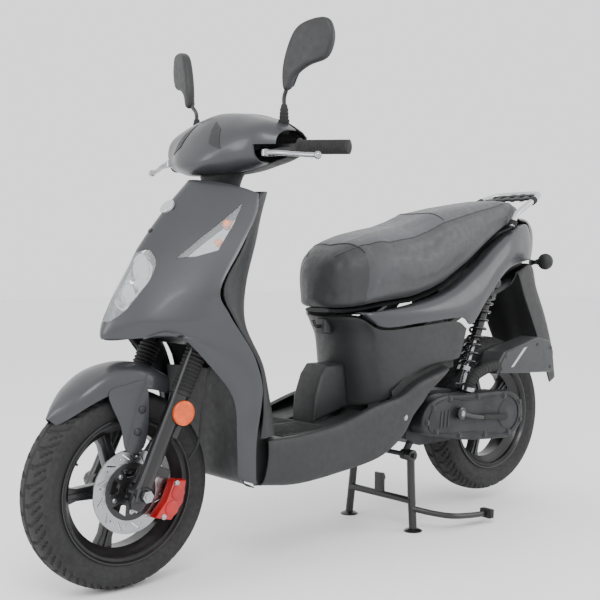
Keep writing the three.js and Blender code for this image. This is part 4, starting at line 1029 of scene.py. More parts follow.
def caliper():
    outline = [fork_xz(*p) for p in [(40, 206), (84, 215), (97, 262), (83, 311), (52, 299), (53, 250)]]
    outer = plate("caliper_outer", [outline], -94, -64, "red", 5)
    inner = plate("caliper_inner", [shrunk(outline, 3)], -50, -43.5, "red", 2)
    bridge = plate(
        "caliper_bridge",
        [[fork_xz(*p) for p in [(92, 240), (97, 262), (90, 285), (84, 262)]]],
        -66,
        -48,
        "red",
        1.5,
    )
    arm = plate(
        "caliper_arm",
        [[fork_xz(*p) for p in [(-4, 294), (42, 296), (42, 318), (-4, 318)]]],
        -80,
        -68,
        "black_metal",
        2,
    )
    pots = [
        turned(
            f"caliper_pot{i}",
            fork_point(72, -92, u),
            fork_point(72, -99, u),
            [(0, 17), (0.6, 17), (0.75, 14), (0.8, 14), (0.9, 12), (1, 8)],
            "red",
            40,
        )
        for i, u in enumerate((240, 278))
    ]
    bolts = [
        bolt(f"caliper_bolt{i}", fork_point(p, -94, u), (0, -1, 0), 5, 4, "steel")
        for i, (p, u) in enumerate([(60, 216), (60, 296)])
    ]
    nipple = turned(
        "caliper_nipple", fork_point(88, -80, 258), fork_point(100, -80, 262),
        [(0, 4), (0.5, 4), (0.6, 2.5), (1, 2.5)], "steel", 16,
    )
    show(joined("caliper_body", [outer, inner, bridge, arm, nipple] + pots + bolts), "brake_caliper")


caliper()
show(
    tube(
        "hose_brake",
        [(-506, -84, 285), (-494, -108, 332), (-500, -130, 404), (-486, -130, 460), (-478, -128, 500)],
        3.2,
        "rubber",
        10,
        12,
    ),
    "brake_hose",
)
show(
    tube(
        "cable_speedometer",
        [
            (-672, -125, 222), (-662, -130, 262), (-620, -130, 352), (-576, -130, 444),
            (-536, -126, 524), (-520, -124, 552),
        ],
        2.8,
        "plastic_light",
        10,
        12,
    ),
    "speedometer_cable",
)


ROUNDING_RISE = 3.0  # a smooth line through the rows stands this much prouder than a faceted one


def mudguard_front():
    rows = []
    for degrees, crown, half, drop in FRONT_GUARD:
        a = math.radians(degrees)

        def spot(radius, y):
            return (FRONT_AXLE[0] + radius * math.cos(a), y, FRONT_AXLE[1] + radius * math.sin(a))

        top = crown - ROUNDING_RISE
        rows.append(
            [
                spot(top, 0), spot(top - 4, -half * 0.5), spot(top - 15, -half * 0.88),
                spot(top - 15 - drop, -half - 2),
            ]
        )
    guard = moulded("guard_shell", rows, "paint", (FRONT_AXLE[0], 0, FRONT_AXLE[1]), 3, 8)
    outline = [
        (-706, 452), (-660, 470), (-612, 470), (-604, 400), (-618, 326), (-662, 322), (-676, 378),
    ]
    wings = [
        plate("wing" + str(s), [outline], s * 70 - 2, s * 70 + 2, "paint", 0.8, True)
        for s in (-1, 1)
    ]
    caps = [
        turned(
            f"wing_cap{s}{i}", (x, s * 71.5, z), (x, s * 77, z),
            [(0, 9), (0.4, 9), (0.7, 7.5), (1, 4)], "plastic", 28,
        )
        for s in (-1, 1)
        for i, (x, z) in enumerate([(-622, 411), (-634, 362)])
    ]
    show(joined("guard_front", [guard] + wings + caps), "front_mudguard")


mudguard_front()
disc_reflector = turned(
    "fork_reflector",
    (-545, -119, 401),
    (-545, -127, 401),
    [(0, 28), (0.7, 28), (0.85, 26.5), (0.9, 26), (1, 20)],
    "reflector",
    56,
)
settle(disc_reflector, "fork_lower")
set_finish(disc_reflector, "red_plastic")


# ------------------------------------------------------------------ handlebar
def cowl(name, sections, material):
    rows = [[(x, -y, z) for x, z in sections[i]] for i, y in enumerate(COWL_STATIONS)]
    rows[0] = [(x, 0, z) for x, _, z in rows[0]]
    columns = [list(c) for c in zip(*rows)]
    return moulded(name, columns, material, (-310, 0, 1010), 3, 8)


def box_cutter(sx, sy, sz, x, y, z):
    outline = [
        (y - sy / 2, z - sz / 2), (y + sy / 2, z - sz / 2), (y + sy / 2, z + sz / 2),
        (y - sy / 2, z + sz / 2),
    ]
    return window_cutter("cutter", outline, x - sx / 2, x + sx / 2)


def drop_cutters(obj, cutters, operation="DIFFERENCE"):
    for cutter in cutters:
        boolean(obj, cutter, operation)
        bpy.data.objects.remove(cutter)
    return obj


front_cowl = cowl("cowl_front", COWL_FRONT, "paint")
drop_cutters(front_cowl, [box_cutter(96, 92, 44, -372, s * 218, 986) for s in (-1, 1)])
show(front_cowl, "handlebar_cover_front")
show(cowl("cowl_rear", COWL_REAR, "plastic"), "handlebar_cover_rear")

# facets beside the middle of the cowl, and the meter window on its rear face
for s in (-1, 1):
    outline = [(s * 38, 1072), (s * 74, 1050), (s * 96, 1000), (s * 58, 1016)]
    facet = copy_of(front_cowl, "cowl_facet_" + ("left" if s < 0 else "right"))
    drop_cutters(facet, [window_cutter("facet", outline, -480, -330)], "INTERSECT")
    repaint(facet, "plastic")
    bm = bmesh.new()
    bm.from_mesh(facet.data)
    bmesh.ops.translate(bm, verts=bm.verts, vec=(-0.0012, 0, 0.0004))
    bm.to_mesh(facet.data)
    bm.free()
    settle(facet, "steering")
    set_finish(facet, "black_plastic")
meter = plate(
    "meter_window",
    [[(-286, 1097), (-250, 1084), (-226, 1060), (-230, 1054), (-252, 1078), (-286, 1090)]],
    -62,
    62,
    "smoke",
    1,
)
settle(meter, "steering")
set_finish(meter, "clear_lens")


def sleeve(name, rings, material, sides=48):
    """A closed form through oval rings of (x, z, half length, half width) about the centre plane."""
    verts, faces = [], []
    line = catmull(rings, 5)
    for x, z, long, wide in line:
        for k in range(sides):
            w = 2 * math.pi * k / sides
            verts.append(mm((x + long * math.cos(w), wide * math.sin(w), z)))
    for i in range(len(line) - 1):
        for k in range(sides):
            k2 = (k + 1) % sides
            faces.append((i * sides + k, i * sides + k2, (i + 1) * sides + k2, (i + 1) * sides + k))
    faces.append(tuple(range(sides))[::-1])
    faces.append(tuple((len(line) - 1) * sides + k for k in range(sides)))
    return outward(make_object(name, verts, faces, material))


neck = sleeve(
    "steering_neck",
    [(-348, 902, 42, 46), (-348, 925, 46, 50), (-346, 945, 50, 58), (-342, 966, 56, 76)],
    "plastic",
)
settle(neck, "steering")
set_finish(neck, "black_plastic")


def on_line(a, b, t):
    return tuple(np.array(a) + (np.array(b) - np.array(a)) * t)


def grip(s):
    name = "grip_l" if s < 0 else "grip_r"
    outer, inner = (-245, s * 345, 998), (-300, s * 228, 1003)
    profile = [(0.03, 19), (0.04, 20.5), (0.07, 20.5), (0.08, 17)]
    for i in range(26):
        t = 0.1 + 0.84 * i / 26
        profile += [(t, 15.6), (t + 0.006, 16.6), (t + 0.02, 16.6), (t + 0.026, 15.6)]
    profile += [(0.95, 16.5), (0.99, 16.5), (1, 14)]
    sleeve = turned(name + "_sleeve", inner, outer, profile, "rubber", 40, 50)
    return show(repiece(sleeve, name), "grip_left" if s < 0 else "throttle_grip")


def repiece(obj, name):
    obj.name = name
    return obj


def lever(s):
    name = "lever_l" if s < 0 else "lever_r"
    x, y, z = -366, 196, 988
    blade = tube(
        name + "_blade",
        [
            (x + 2, s * (y + 4), z), (x + 8, s * (y + 46), z - 3), (x + 26, s * (y + 96), z - 9),
            (-331, s * 333, 975),
        ],
        6.4,
        "steel",
        12,
        14,
        radii=[8.5, 6.4, 5.6, 6.2],
    )
    knob = blob(name + "_knob", (-331, s * 333, 975), (9, 9, 9), "steel")
    eye = turned(
        name + "_eye", (x, s * y, z - 8), (x, s * y, z + 8),
        [(0, 9.5), (0.08, 11), (0.92, 11), (1, 9.5)], "steel",
    )
    screw = bolt(name + "_screw", (x, s * y, z + 8), (0, 0, 1), 4, 2, "black_metal")
    show(joined(name, [blade, knob, eye, screw]), "brake_lever_left" if s < 0 else "brake_lever_right")


def mirror(s):
    tag = "l" if s < 0 else "r"
    node = "left" if s < 0 else "right"
    bx, by, bz = -295, 174, 1066
    kx, ky, kz = -300, 196, 1150
    boot = turned(
        "mirror_boot_" + tag, (bx, s * by, 1036), (bx, s * (by + 2), 1106),
        [
            (0, 12), (0.4, 12), (0.42, 13), (0.5, 13), (0.52, 10.5), (0.6, 11.5), (0.64, 10),
            (0.72, 11), (0.76, 9.4), (0.84, 10.2), (0.88, 8.6), (1, 7),
        ],
        "rubber", 32,
    )
    arm = tube(
        "mirror_arm_" + tag,
        [
            (bx, s * (by + 2), 1100), (bx - 1, s * (by + 3), 1122), (kx + 1, s * (ky - 8), 1138),
            (kx, s * ky, kz),
        ],
        5,
        "black_metal",
        10,
        12,
    )
    ball = blob("mirror_ball_" + tag, (kx, s * ky, kz), (8, 8, 8), "black_metal")
    show(joined("mirror_stem_" + tag, [boot, arm, ball]), "mirror_stem_" + node)

    # the head is drawn in its own plane, outwards and up from the ball
    curve_outline = smooth_loop(MIRROR_OUTLINE, 5)
    basis = Matrix(((0.32, 0, 0.947, 0), (-0.947, 0, 0.32, 0), (0, 1, 0, 0), (0, 0, 0, 1)))
    place = Matrix.Translation(mm((kx - 8, -ky, kz))) @ basis
    shell = bpy.data.curves.new("mirror_curve", "CURVE")
    shell.dimensions = "2D"
    shell.fill_mode = "BOTH"
    shell.extrude = 0.003
    shell.bevel_depth = 0.009
    shell.bevel_resolution = 5
    shell.offset = -0.009
    spline = shell.splines.new("POLY")
    spline.points.add(len(curve_outline) - 1)
    for i, (u, v) in enumerate(curve_outline):
        spline.points[i].co = (u / 1000, v / 1000, 0.005, 1)
    spline.use_cyclic_u = True
    head = from_curve("mirror_shell_" + tag, shell, "plastic", place)
    glass_curve = bpy.data.curves.new("glass_curve", "CURVE")
    glass_curve.dimensions = "2D"
    glass_curve.fill_mode = "BOTH"
    glass_curve.extrude = 0.0008
    glass_curve.bevel_depth = 0.0004
    spline = glass_curve.splines.new("POLY")
    inner = shrunk(curve_outline, 9)
    spline.points.add(len(inner) - 1)
    for i, (u, v) in enumerate(inner):
        spline.points[i].co = (u / 1000, v / 1000, 0.0168, 1)
    spline.use_cyclic_u = True
    glass = from_curve("mirror_glass_" + tag, glass_curve, "mirror", place)
    if s > 0:
        for o in (head, glass):
            o.data.transform(Matrix.Diagonal((1, -1, 1, 1)))
            o.data.flip_normals()
    show(joined("mirror_head_" + tag, [head, glass]), "mirror_head_" + node)


for s in (-1, 1):
    grip(s)
    lever(s)
    mirror(s)


# ------------------------------------------------------------------ front body
def mirrored_outline(outline):
    return [(-y, z) for y, z in outline][::-1]


HEADLIGHT_WINDOW = smooth_loop(HEADLIGHT_OUTLINE, 4)
shield = moulded("shield", SHIELD_NET, "paint", (-250, 0, 600), 4, 6)


def shield_window(outline, by, front=-760, back=-330):
    return window_cutter("window", shrunk(outline, by), front, back)


def lens_piece(name, outline, back):
    piece = copy_of(shield, name)
    drop_cutters(piece, [shield_window(outline, 1.2, back=back)], "INTERSECT")
    return repaint(piece, "lens")


HEAD_WINDOW_BACK = -480
show(lens_piece("lens_headlight", HEADLIGHT_WINDOW, HEAD_WINDOW_BACK), "headlight_lens")
show(lens_piece("lens_indicator_l", INDICATOR_OUTLINE, -330), "front_indicator_left")
show(lens_piece("lens_indicator_r", mirrored_outline(INDICATOR_OUTLINE), -330), "front_indicator_right")
drop_cutters(
    shield,
    [
        shield_window(HEADLIGHT_WINDOW, 0, back=HEAD_WINDOW_BACK),
        shield_window(INDICATOR_OUTLINE, 0),
        shield_window(mirrored_outline(INDICATOR_OUTLINE), 0),
    ],
)
show(shield, "front_shield")


def behind_shield(name, outline, material, offset, back, by=2):
    """A thin pan the shape of the window, a little behind the shield's skin."""
    pan = moulded(name, SHIELD_NET, material, (-250, 0, 600), 2, 6, True, 0)
    drop_cutters(pan, [shield_window(outline, by, back=back)], "INTERSECT")
    pan.data.transform(Matrix.Translation((offset / 1000, 0, 0)))
    settle(pan, "chassis")
    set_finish(pan, MATERIAL_SLOT[MATS[material].name])
    return pan


for name, outline in (("l", INDICATOR_OUTLINE), ("r", mirrored_outline(INDICATOR_OUTLINE))):
    behind_shield("indicator_pan_" + name, outline, "chrome", 26, -330)
behind_shield("headlight_pan", HEADLIGHT_WINDOW, "chrome", 44, HEAD_WINDOW_BACK)


def lamp_bowl(name, centre, radius, depth, bulb_material):
    x, y, z = centre
    bowl = turned(
        name + "_bowl", (x, y, z), (x + depth, y, z),
        [
            (0, radius), (0, radius - 1.5), (0.25, radius * 0.9), (0.55, radius * 0.7),
            (0.85, radius * 0.35), (0.99, 7), (1, 10), (0.9, radius * 0.4), (0.5, radius * 0.8),
        ],
        "chrome", 64,
    )
    bulb = blob(name + "_bulb", (x + depth * 0.45, y, z), (depth * 0.35, 7, 7), bulb_material)
    piece = joined(name, [bowl, bulb])
    settle(piece, "chassis")
    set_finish(piece, "reflector_chrome")


# An indicator bulb from its socket to its tip, as (share of its length, radius).
BULB = [
    (0, 7), (0.26, 7), (0.26, 8.5), (0.34, 8.5), (0.34, 6.5),
    (0.5, 9.5), (0.68, 11), (0.84, 9.5), (0.95, 5.5), (1, 1),
]
lamp_bowl("head_bowl_high", (-578, 0, 724), 36, 40, "lens")
lamp_bowl("head_bowl_low", (-612, 0, 660), 32, 40, "lens")
for s, tag in ((-1, "l"), (1, "r")):
    for i, z in enumerate((782, 826)):
        x = -470 + (z - 782) * 0.5
        bulb = turned(
            f"indicator_bulb_{tag}{i}", (x + 39, s * 127, z), (x + 11, s * 127, z), BULB, "amber",
            32,
        )
        settle(bulb, "chassis")
        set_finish(bulb, "clear_lens")


def surface_point(obj, origin, direction):
    """Where a line from a design point meets the piece, in row-frame metres, with the surface's normal."""
    inverse = obj.matrix_world.inverted()
    hit, place, normal, _ = obj.ray_cast(inverse @ mm(origin), Vector(direction).normalized())
    return (obj.matrix_world @ place, normal) if hit else (None, None)


def design(p):
    return (p.x * 1000 - SHIFT, p.y * 1000, p.z * 1000)


bpy.context.view_layer.update()


def front_details():
    spot, normal = surface_point(shield, (-900, 0, 868), (1, 0, 0))
    if spot is not None:
        out = tuple(normal)
        at = design(spot)
        start, end = tuple(np.array(at) - np.array(out) * 2), tuple(np.array(at) + np.array(out) * 5)
        badge = turned(
            "shield_badge",
            start,
            end,
            [(0, 20), (0.7, 20), (0.85, 18.5), (0.86, 17), (0.8, 15.5), (0.92, 12), (1, 4)],
            "silver",
            64,
            30,
        )
        settle(badge, "chassis")
        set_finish(badge, "reflector_chrome")
    spot, normal = surface_point(shield, (-900, 0, 812), (1, 0, 0))
    if spot is not None:
        at = design(spot)
        end = tuple(np.array(at) + np.array(tuple(normal)) * 3)
        screw = turned(
            "shield_screw",
            at,
            end,
            [(0, 6), (0.6, 6), (0.8, 4.5), (0.7, 2.5), (0.5, 2)],
            "black_metal",
            24,
        )
        settle(screw, "chassis")
        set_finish(screw, "black_metal")


front_details()

inner = moulded("inner_shield", INNER_NET, "plastic", (-600, 0, 600), 4, 6)
show(inner, "inner_leg_shield")
ring_spot = turned(
    "key_ring",
    (-312, 74, 842),
    (-298, 74, 847),
    [(0, 20), (0.5, 20), (0.8, 18), (1, 15), (0.8, 13)],
    "black_metal",
    40,
)
settle(ring_spot, "chassis")
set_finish(ring_spot, "black_metal")

# ------------------------------------------------------------------ floor, skirts and centre body
both(
    lambda: moulded("skirt_left", SKIRT_NET, "plastic", (-60, 0, 300), 4, 7, False),
    "floor_skirt_left",
    "floor_skirt_right",
)
show(moulded("centre_panel", CENTRE_NET, "plastic", (200, 0, 500), 4, 6), "centre_cover")
show(moulded("liner", LINER_NET, "plastic", (-250, 0, 330), 3, 6), "wheel_liner")
belly_outline = [
    (-366, 226), (-368, 400), (-360, 470), (-340, 480), (-328, 400), (-318, 312), (-110, 308), (0, 318),
    (58, 332), (70, 300), (20, 258), (-110, 240), (-140, 212), (-340, 209),
]
belly = plate("belly_block", [belly_outline], -146, 146, "plastic", 6)
settle(belly, "chassis")
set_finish(belly, "black_plastic")


def fuel_tank():
    """The tank above the rear mudguard, which closes the space below the seat."""
    high = [(x, low - 17) for x, low in zip(SEAT_X, SEAT_LOW) if 384 < x < 750]
    outline = [(386, 552), (386, 668)] + high + [
        (768, 838), (790, 724), (720, 700), (560, 630), (420, 562),
    ]
    tank = plate("fuel_tank", [outline], -52, 52, "plastic", 8)
    settle(tank, "chassis")
    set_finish(tank, "black_plastic")


def side_seal():
    """Rubber strip that closes the joint between the centre cover and the skirt."""
    rows = [
        [(100, -146, 396), (185, -148, 448), (300, -149, 480), (345, -147, 484)],
        [(106, -148, 368), (185, -151, 404), (300, -151, 436), (345, -149, 444)],
    ]
    return moulded("seal_left", rows, "rubber", (200, 0, 430), 2, 8, False, 0)


fuel_tank()
seal = side_seal()
for piece in (seal, mirror_piece(seal, "seal_right")):
    settle(piece, "chassis")
    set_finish(piece, "rubber_black")
tunnel_side = [
    (-86, 318), (-80, 384), (-58, 440), (-36, 466), (26, 466), (30, 440), (38, 384), (42, 350),
]
tunnel = plate("tunnel_box", [tunnel_side], -46, 46, "plastic", 12)
show(tunnel, "centre_cover", False)
hook = tube(
    "bag_hook",
    [(-8, 0, 572), (-26, 0, 566), (-40, 0, 569), (-46, 0, 582)],
    4.5,
    "black_metal",
    10,
    12,
)
hook_plate = plate(
    "hook_plate",
    [[(-24, 548), (2, 544), (0, 586), (-22, 586)]],
    -18,
    18,
    "plastic_light",
    5,
)
show(joined("bag_hook_set", [hook, hook_plate]), "centre_cover", False)


def floor_mat():
    """Rubber mat with raised bars on the footboard."""
    pieces = []
    for s in (-1, 1):
        base = plate(
            f"mat{s}",
            [[(-270, 317.5), (-112, 317.5), (-100, 319), (-100, 321), (-112, 320.5), (-270, 320.5)]],
            *((s * 70 - 70, s * 70 + 70)),
            "mat",
            0.6,
        )
        pieces.append(base)
        for i in range(26):
            x = -264 + i * 6
            pieces.append(
                plate(
                    f"mat_bar{s}{i}",
                    [[(x, 320), (x + 3, 320), (x + 2.4, 321.8), (x + 0.6, 321.8)]],
                    s * 70 - 62,
                    s * 70 + 62,
                    "mat",
                    0.3,
                )
            )
    mat = joined("floor_mat", pieces)
    settle(mat, "chassis")
    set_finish(mat, "rubber_black")


floor_mat()
for s in (-1, 1):
    piece = bolt("skirt_bolt_" + ("l" if s < 0 else "r"), (121, s * 177, 328), (0, s, 0), 6, 4, "steel")
    settle(piece, "chassis")
    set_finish(piece, "steel_bright")

both(
    lambda: moulded("side_left", SIDE_NET, "paint", (300, 0, 650), 4, 8, False),
    "side_panel_left",
    "side_panel_right",
)

tail = moulded("tail", TAIL_NET, "paint", (780, 0, 800), 4, 8)
tail_lens = copy_of(tail, "lens_tail")
drop_cutters(
    tail_lens,
    [window_cutter("tail_window", shrunk(TAIL_LIGHT_OUTLINE, 1.2), 822, 900)],
    "INTERSECT",
)
repaint(tail_lens, "tail_red")
drop_cutters(tail, [window_cutter("tail_window", TAIL_LIGHT_OUTLINE, 822, 900)])
show(tail, "tail_cowl")
show(tail_lens, "tail_light")
show(moulded("guard_rear", MUDGUARD_NET, "plastic", (650, 0, 500), 4, 7), "rear_mudguard")


def indicator_rear(s):
    tag = "l" if s < 0 else "r"
    stalk = turned(
        "rear_stalk_" + tag,
        (770, s * 96, 732),
        (762, s * 126, 734),
        [(0, 9), (0.15, 9), (0.2, 6.6), (0.9, 6.6), (1, 9)],
        "plastic",
        28,
    )
    shell = turned(
        "rear_ball_" + tag, (783, s * 146, 735), (757, s * 146, 735),
        [(0, 20), (0.08, 23.5), (0.3, 25), (0.6, 24), (0.85, 18), (1, 7)], "plastic", 40,
    )
    lens = turned(
        "rear_lens_" + tag, (780, s * 146, 735), (785.5, s * 146, 735),
        [(0, 22), (0.4, 20), (0.8, 13), (1, 3)], "amber", 40,
    )
    show(
        joined("indicator_rear_" + tag, [stalk, shell, lens]),
        "rear_indicator_left" if s < 0 else "rear_indicator_right",
    )


indicator_rear(-1)
indicator_rear(1)


def rack():
    half = [
        (652, 112, 842), (660, 113, 862), (680, 112, 882), (731, 106, 906), (786, 100, 931),
        (818, 84, 943), (836, 50, 947),
    ]
    loop = [(x, -y, z) for x, y, z in half] + [(840, 0, 948)] + half[::-1]
    rail = tube("rack_rail", loop, 9, "silver", 8, 20)
    bars = [
        tube(f"rack_bar{i}", [(x, -y, z), (x, y, z)], 5, "black_metal", 1, 12)
        for i, (x, z, y) in enumerate([(783, 929, 98), (812, 940, 84)])
    ]
    slats = [
        plate(
            f"rack_slat{i}",
            [[(774, 921), (836, 942), (838, 948), (834, 950), (772, 929)]],
            y - 8,
            y + 8,
            "plastic",
            2,
        )
        for i, y in enumerate((-54, -18, 18, 54))
    ]
    feet = [
        turned(
            f"rack_foot{s}{i}", on_line(p, q, 0), on_line(p, q, 1),
            [(0, 11), (0.1, 12.5), (0.9, 12.5), (1, 11)], "rubber", 28,
        )
        for s in (-1, 1)
        for i, (p, q) in enumerate(
            [((653, s * 112, 844), (659, s * 113, 858)), ((758, s * 103, 918), (776, s * 101, 926))]
        )
    ]
    show(joined("rack", [rail] + bars + slats + feet), "rear_rack")


rack()


# ------------------------------------------------------------------ seat
def seat():
    cushion = copy_of(frame["nodes"]["seat_cushion"], "seat_pad")
    cushion.parent = None
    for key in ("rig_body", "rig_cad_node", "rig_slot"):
        if key in cushion:
            del cushion[key]
    cushion.hide_render = False
    remesh = cushion.modifiers.new("even", "REMESH")
    remesh.mode = "VOXEL"
    remesh.voxel_size = 0.006
    apply_modifiers(cushion, 180)
    before = np.array([v.co for v in cushion.data.vertices])
    cloth = cushion.modifiers.new("fill", "CLOTH")
    cloth.settings.use_pressure = True
    cloth.settings.uniform_pressure_force = 4
    cloth.settings.effector_weights.gravity = 0
    cloth.settings.quality = 4
    cloth.settings.mass = 0.3
    cloth.point_cache.frame_start = 1
    cloth.point_cache.frame_end = 20
    for f in range(1, 21):
        bpy.context.scene.frame_set(f)
    apply_modifiers(cushion, 180)
    bpy.context.scene.frame_set(1)
    after = np.array([v.co for v in cushion.data.vertices])
    move = after - before
    length = np.linalg.norm(move, axis=1, keepdims=True)
    cap = 0.006
    low = before[:, 2:3] - np.interp(
        before[:, 0],
        [(x + SHIFT) / 1000 for x in SEAT_X],
        np.array(SEAT_LOW) / 1000,
    )[:, None]
    free = np.clip(low / 0.03, 0.0, 1.0)
    move = move * np.minimum(1, cap / np.maximum(length, 1e-9)) * free
    cushion.data.vertices.foreach_set("co", (before + move).ravel())
    cushion.data.update()
    even = cushion.modifiers.new("calm", "SMOOTH")
    even.iterations = 6
    even.factor = 0.5
    apply_modifiers(cushion, 180)
    cushion.modifiers.new("fine", "SUBSURF").levels = 1
    apply_modifiers(cushion, 180)
    return cushion


pad = seat()

def seat_half(x):
    return float(np.interp(x, SEAT_X, SEAT_HALF))


def seat_band(x):
    """Half width of the top panel of the seat at x."""
    return seat_half(x) * float(np.interp(x, [-60, 0, 120, 640, 768], [0.5, 0.66, 0.8, 0.8, 0.6]))


def paint_seat(obj):
    obj.data.materials.clear()
    for key in ("vinyl_side", "vinyl_top", "vinyl_nose"):
        obj.data.materials.append(MATS[key])
    for face in obj.data.polygons:
        x, y, z = design(face.center)
        top = abs(y) < seat_band(x) and face.normal.z > 0.15
        nose = x < 14 + 22 * min(1, abs(y) / 110)
        face.material_index = 2 if nose else 1 if top else 0


paint_seat(pad)
bpy.context.view_layer.update()


def seam(name, points, radius=1.7):
    """A piping along the seat's surface, under the listed (x, y) points."""
    route = []
    for x, y in points:
        spot, _ = surface_point(pad, (x, y, 1100), (0, 0, -1))
        if spot is not None:
            at = design(spot)
            route.append((at[0], at[1], at[2] + 0.3))
    piece = tube(name, route, radius, "vinyl_nose", 3, 8)
    settle(piece, "seat")
    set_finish(piece, "vinyl_grey")
    return piece


SEAM_X = [-20 + 10 * i for i in range(78)]
for s in (-1, 1):
    seam("seat_piping_" + ("l" if s < 0 else "r"), [(x, s * seat_band(x)) for x in SEAM_X if x < 752])
seam("seat_seam_nose", [(14 + 22 * min(1, abs(y) / 110), y) for y in range(-110, 111, 10)])
seam("seat_seam_rear", [(752 - 0.0006 * y * y, y) for y in range(-30, 31, 6)])
seam("seat_seam_step", [(338 + 0.002 * y * y, y) for y in range(-100, 101, 10)])
show(pad, "seat_cushion")
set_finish(pad, "vinyl_grey")


# ------------------------------------------------------------------ engine, drive and exhaust
def drive_cover():
    body = plate("drive_body", [CASE_OUTLINE], -160, -110, "case", 9, True)
    ridge = plate(
        "drive_ridge",
        [smooth_loop(shrunk(CASE_OUTLINE, 22), 5), smooth_loop(shrunk(CASE_OUTLINE, 27), 5)],
        -162.5,
        -157,
        "case",
        0.8,
    )
    bosses = []
    for i, (x, z) in enumerate(
        [
            (226, 300), (262, 270), (360, 250), (470, 240), (580, 236), (634, 268), (632, 318),
            (560, 344), (440, 352), (320, 356), (250, 338),
        ]
    ):
        bosses.append(
            turned(
                f"drive_boss{i}", (x, -158, z), (x, -162, z), [(0, 10), (0.8, 10), (1, 8.5)],
                "case", 28,
            )
        )
        bosses.append(bolt(f"drive_bolt{i}", (x, -162, z), (0, -1, 0), 4.6, 3.4, "cast"))
    kick_boss = turned(
        "kick_boss", (351, -158, 315), (351, -166, 315),
        [(0, 20), (0.5, 19), (0.55, 15.5), (1, 15)], "case", 36,
    )
    round_pad = turned(
        "clutch_pad",
        (574, -158, 290),
        (574, -163, 290),
        [(0, 44), (0.6, 43), (0.8, 40), (0.7, 34), (0.7, 14), (1, 12)],
        "case",
        56,
    )
    slots = [
        plate(
            f"drive_vent{i}",
            [[(276 + 15 * i, 280), (282 + 15 * i, 280), (288 + 15 * i, 326), (282 + 15 * i, 326)]],
            -162,
            -158,
            "plastic",
            0.8,
        )
        for i in range(3)
    ]
    show(
        joined("drive_cover_detail", [body, ridge, kick_boss, round_pad] + bosses + slots),
        "drive_cover",
    )


drive_cover()


def air_filter():
    outline = [(540, 408), (548, 440), (572, 470)] + [tuple(p) for p in AIRBOX_OUTLINE[2:]]
    body = plate("air_body", [outline], -150, -74, "plastic_light", 7, False)
    lid = plate("air_lid", [shrunk(outline, 9)], -153, -148, "plastic_light", 1.6)
    stripe = plate(
        "air_stripe",
        [[(600, 424), (612, 424), (678, 480), (662, 478)]],
        -153.6,
        -150,
        "stripe",
        0.4,
    )
    route = [(560, -136, 432), (505, -140, 428), (458, -140, 414), (436, -136, 392), (432, -132, 374)]
    ribs = []
    for i in range(60):
        ribs.append(15.5 + 1.6 * math.sin(i * math.pi / 2))
    duct = tube("air_duct", route, 16, "rubber", 16, 24, radii=ribs)
    clamp = turned(
        "air_clamp",
        (433, -133, 378),
        (431, -131, 366),
        [(0, 17.5), (0.1, 18.5), (0.9, 18.5), (1, 17.5)],
        "steel",
        36,
    )
    screws = [
        bolt(f"air_screw{i}", (x, -153, z), (0, -1, 0), 4, 2, "cast")
        for i, (x, z) in enumerate([(560, 422), (580, 456), (730, 484), (798, 470), (796, 412)])
    ]
    show(joined("air_box_detail", [body, lid, stripe, duct, clamp] + screws), "air_box")


air_filter()


def exhaust():
    pipe = tube(
        "exhaust_pipe",
        [
            (112, 20, 280), (118, 70, 236), (150, 122, 232), (200, 148, 240), (280, 153, 240),
            (372, 152, 240),
        ],
        15,
        "black_metal",
        10,
        16,
    )
    stations = [
        (366, 22, 240), (390, 46, 244), (430, 52, 250), (470, 54, 256), (700, 54, 300),
        (740, 50, 309), (752, 40, 312), (762, 20, 314),
    ]
    verts, faces = [], []
    sides = 56
    line = catmull(stations, 4)
    for x, r, z in line:
        for k in range(sides):
            w = 2 * math.pi * k / sides
            verts.append(mm((x, 152 + r * math.cos(w), z + r * math.sin(w))))
    for i in range(len(line) - 1):
        for k in range(sides):
            k2 = (k + 1) % sides
            faces.append((i * sides + k, i * sides + k2, (i + 1) * sides + k2, (i + 1) * sides + k))
    faces.append(tuple(range(sides))[::-1])
    faces.append(tuple((len(line) - 1) * sides + k for k in range(sides)))
    can = outward(make_object("exhaust_can", verts, faces, "black_metal"))
    shield_line = [(460, 254), (560, 272), (680, 296), (690, 318), (560, 302), (455, 282)]
    guard = plate(
        "exhaust_guard",
        [shield_line, circle((520, 281), 7, 20), circle((570, 290), 7, 20), circle((620, 298), 7, 20)],
        206,
        209,
        "steel",
        0.8,
    )
    tip = turned(
        "exhaust_tip",
        (758, 152, 313),
        (772, 152, 316),
        [(0, 15), (0.1, 16), (0.95, 16), (1, 14), (0.9, 11), (0.3, 10)],
        "steel",
        36,
    )
    show(joined("exhaust_detail", [can, pipe, guard, tip]), "exhaust")


exhaust()


# ------------------------------------------------------------------ rear shock, stand, kick lever
SHOCK_LOW, SHOCK_HIGH = (455, -84, 372), (590, -84, 672)


def coil():
    low, high = np.array(on_line(SHOCK_LOW, SHOCK_HIGH, 0.2)), np.array(
        on_line(SHOCK_LOW, SHOCK_HIGH, 0.84)
    )
    line = high - low
    up = line / np.linalg.norm(line)
    side = np.array((0.0, 1.0, 0.0))
    forward = np.cross(up, side)
    points = []
    for i in range(8 * 28 + 1):
        w = i / 28 * 2 * math.pi
        points.append(
            tuple(low + line * i / (8 * 28) + 22 * (side * math.cos(w) + forward * math.sin(w)))
        )
    piece = tube("shock_coil", points, 3.8, "spring", 1, 12)
    show(piece, "shock_spring")
    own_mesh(piece)


coil()


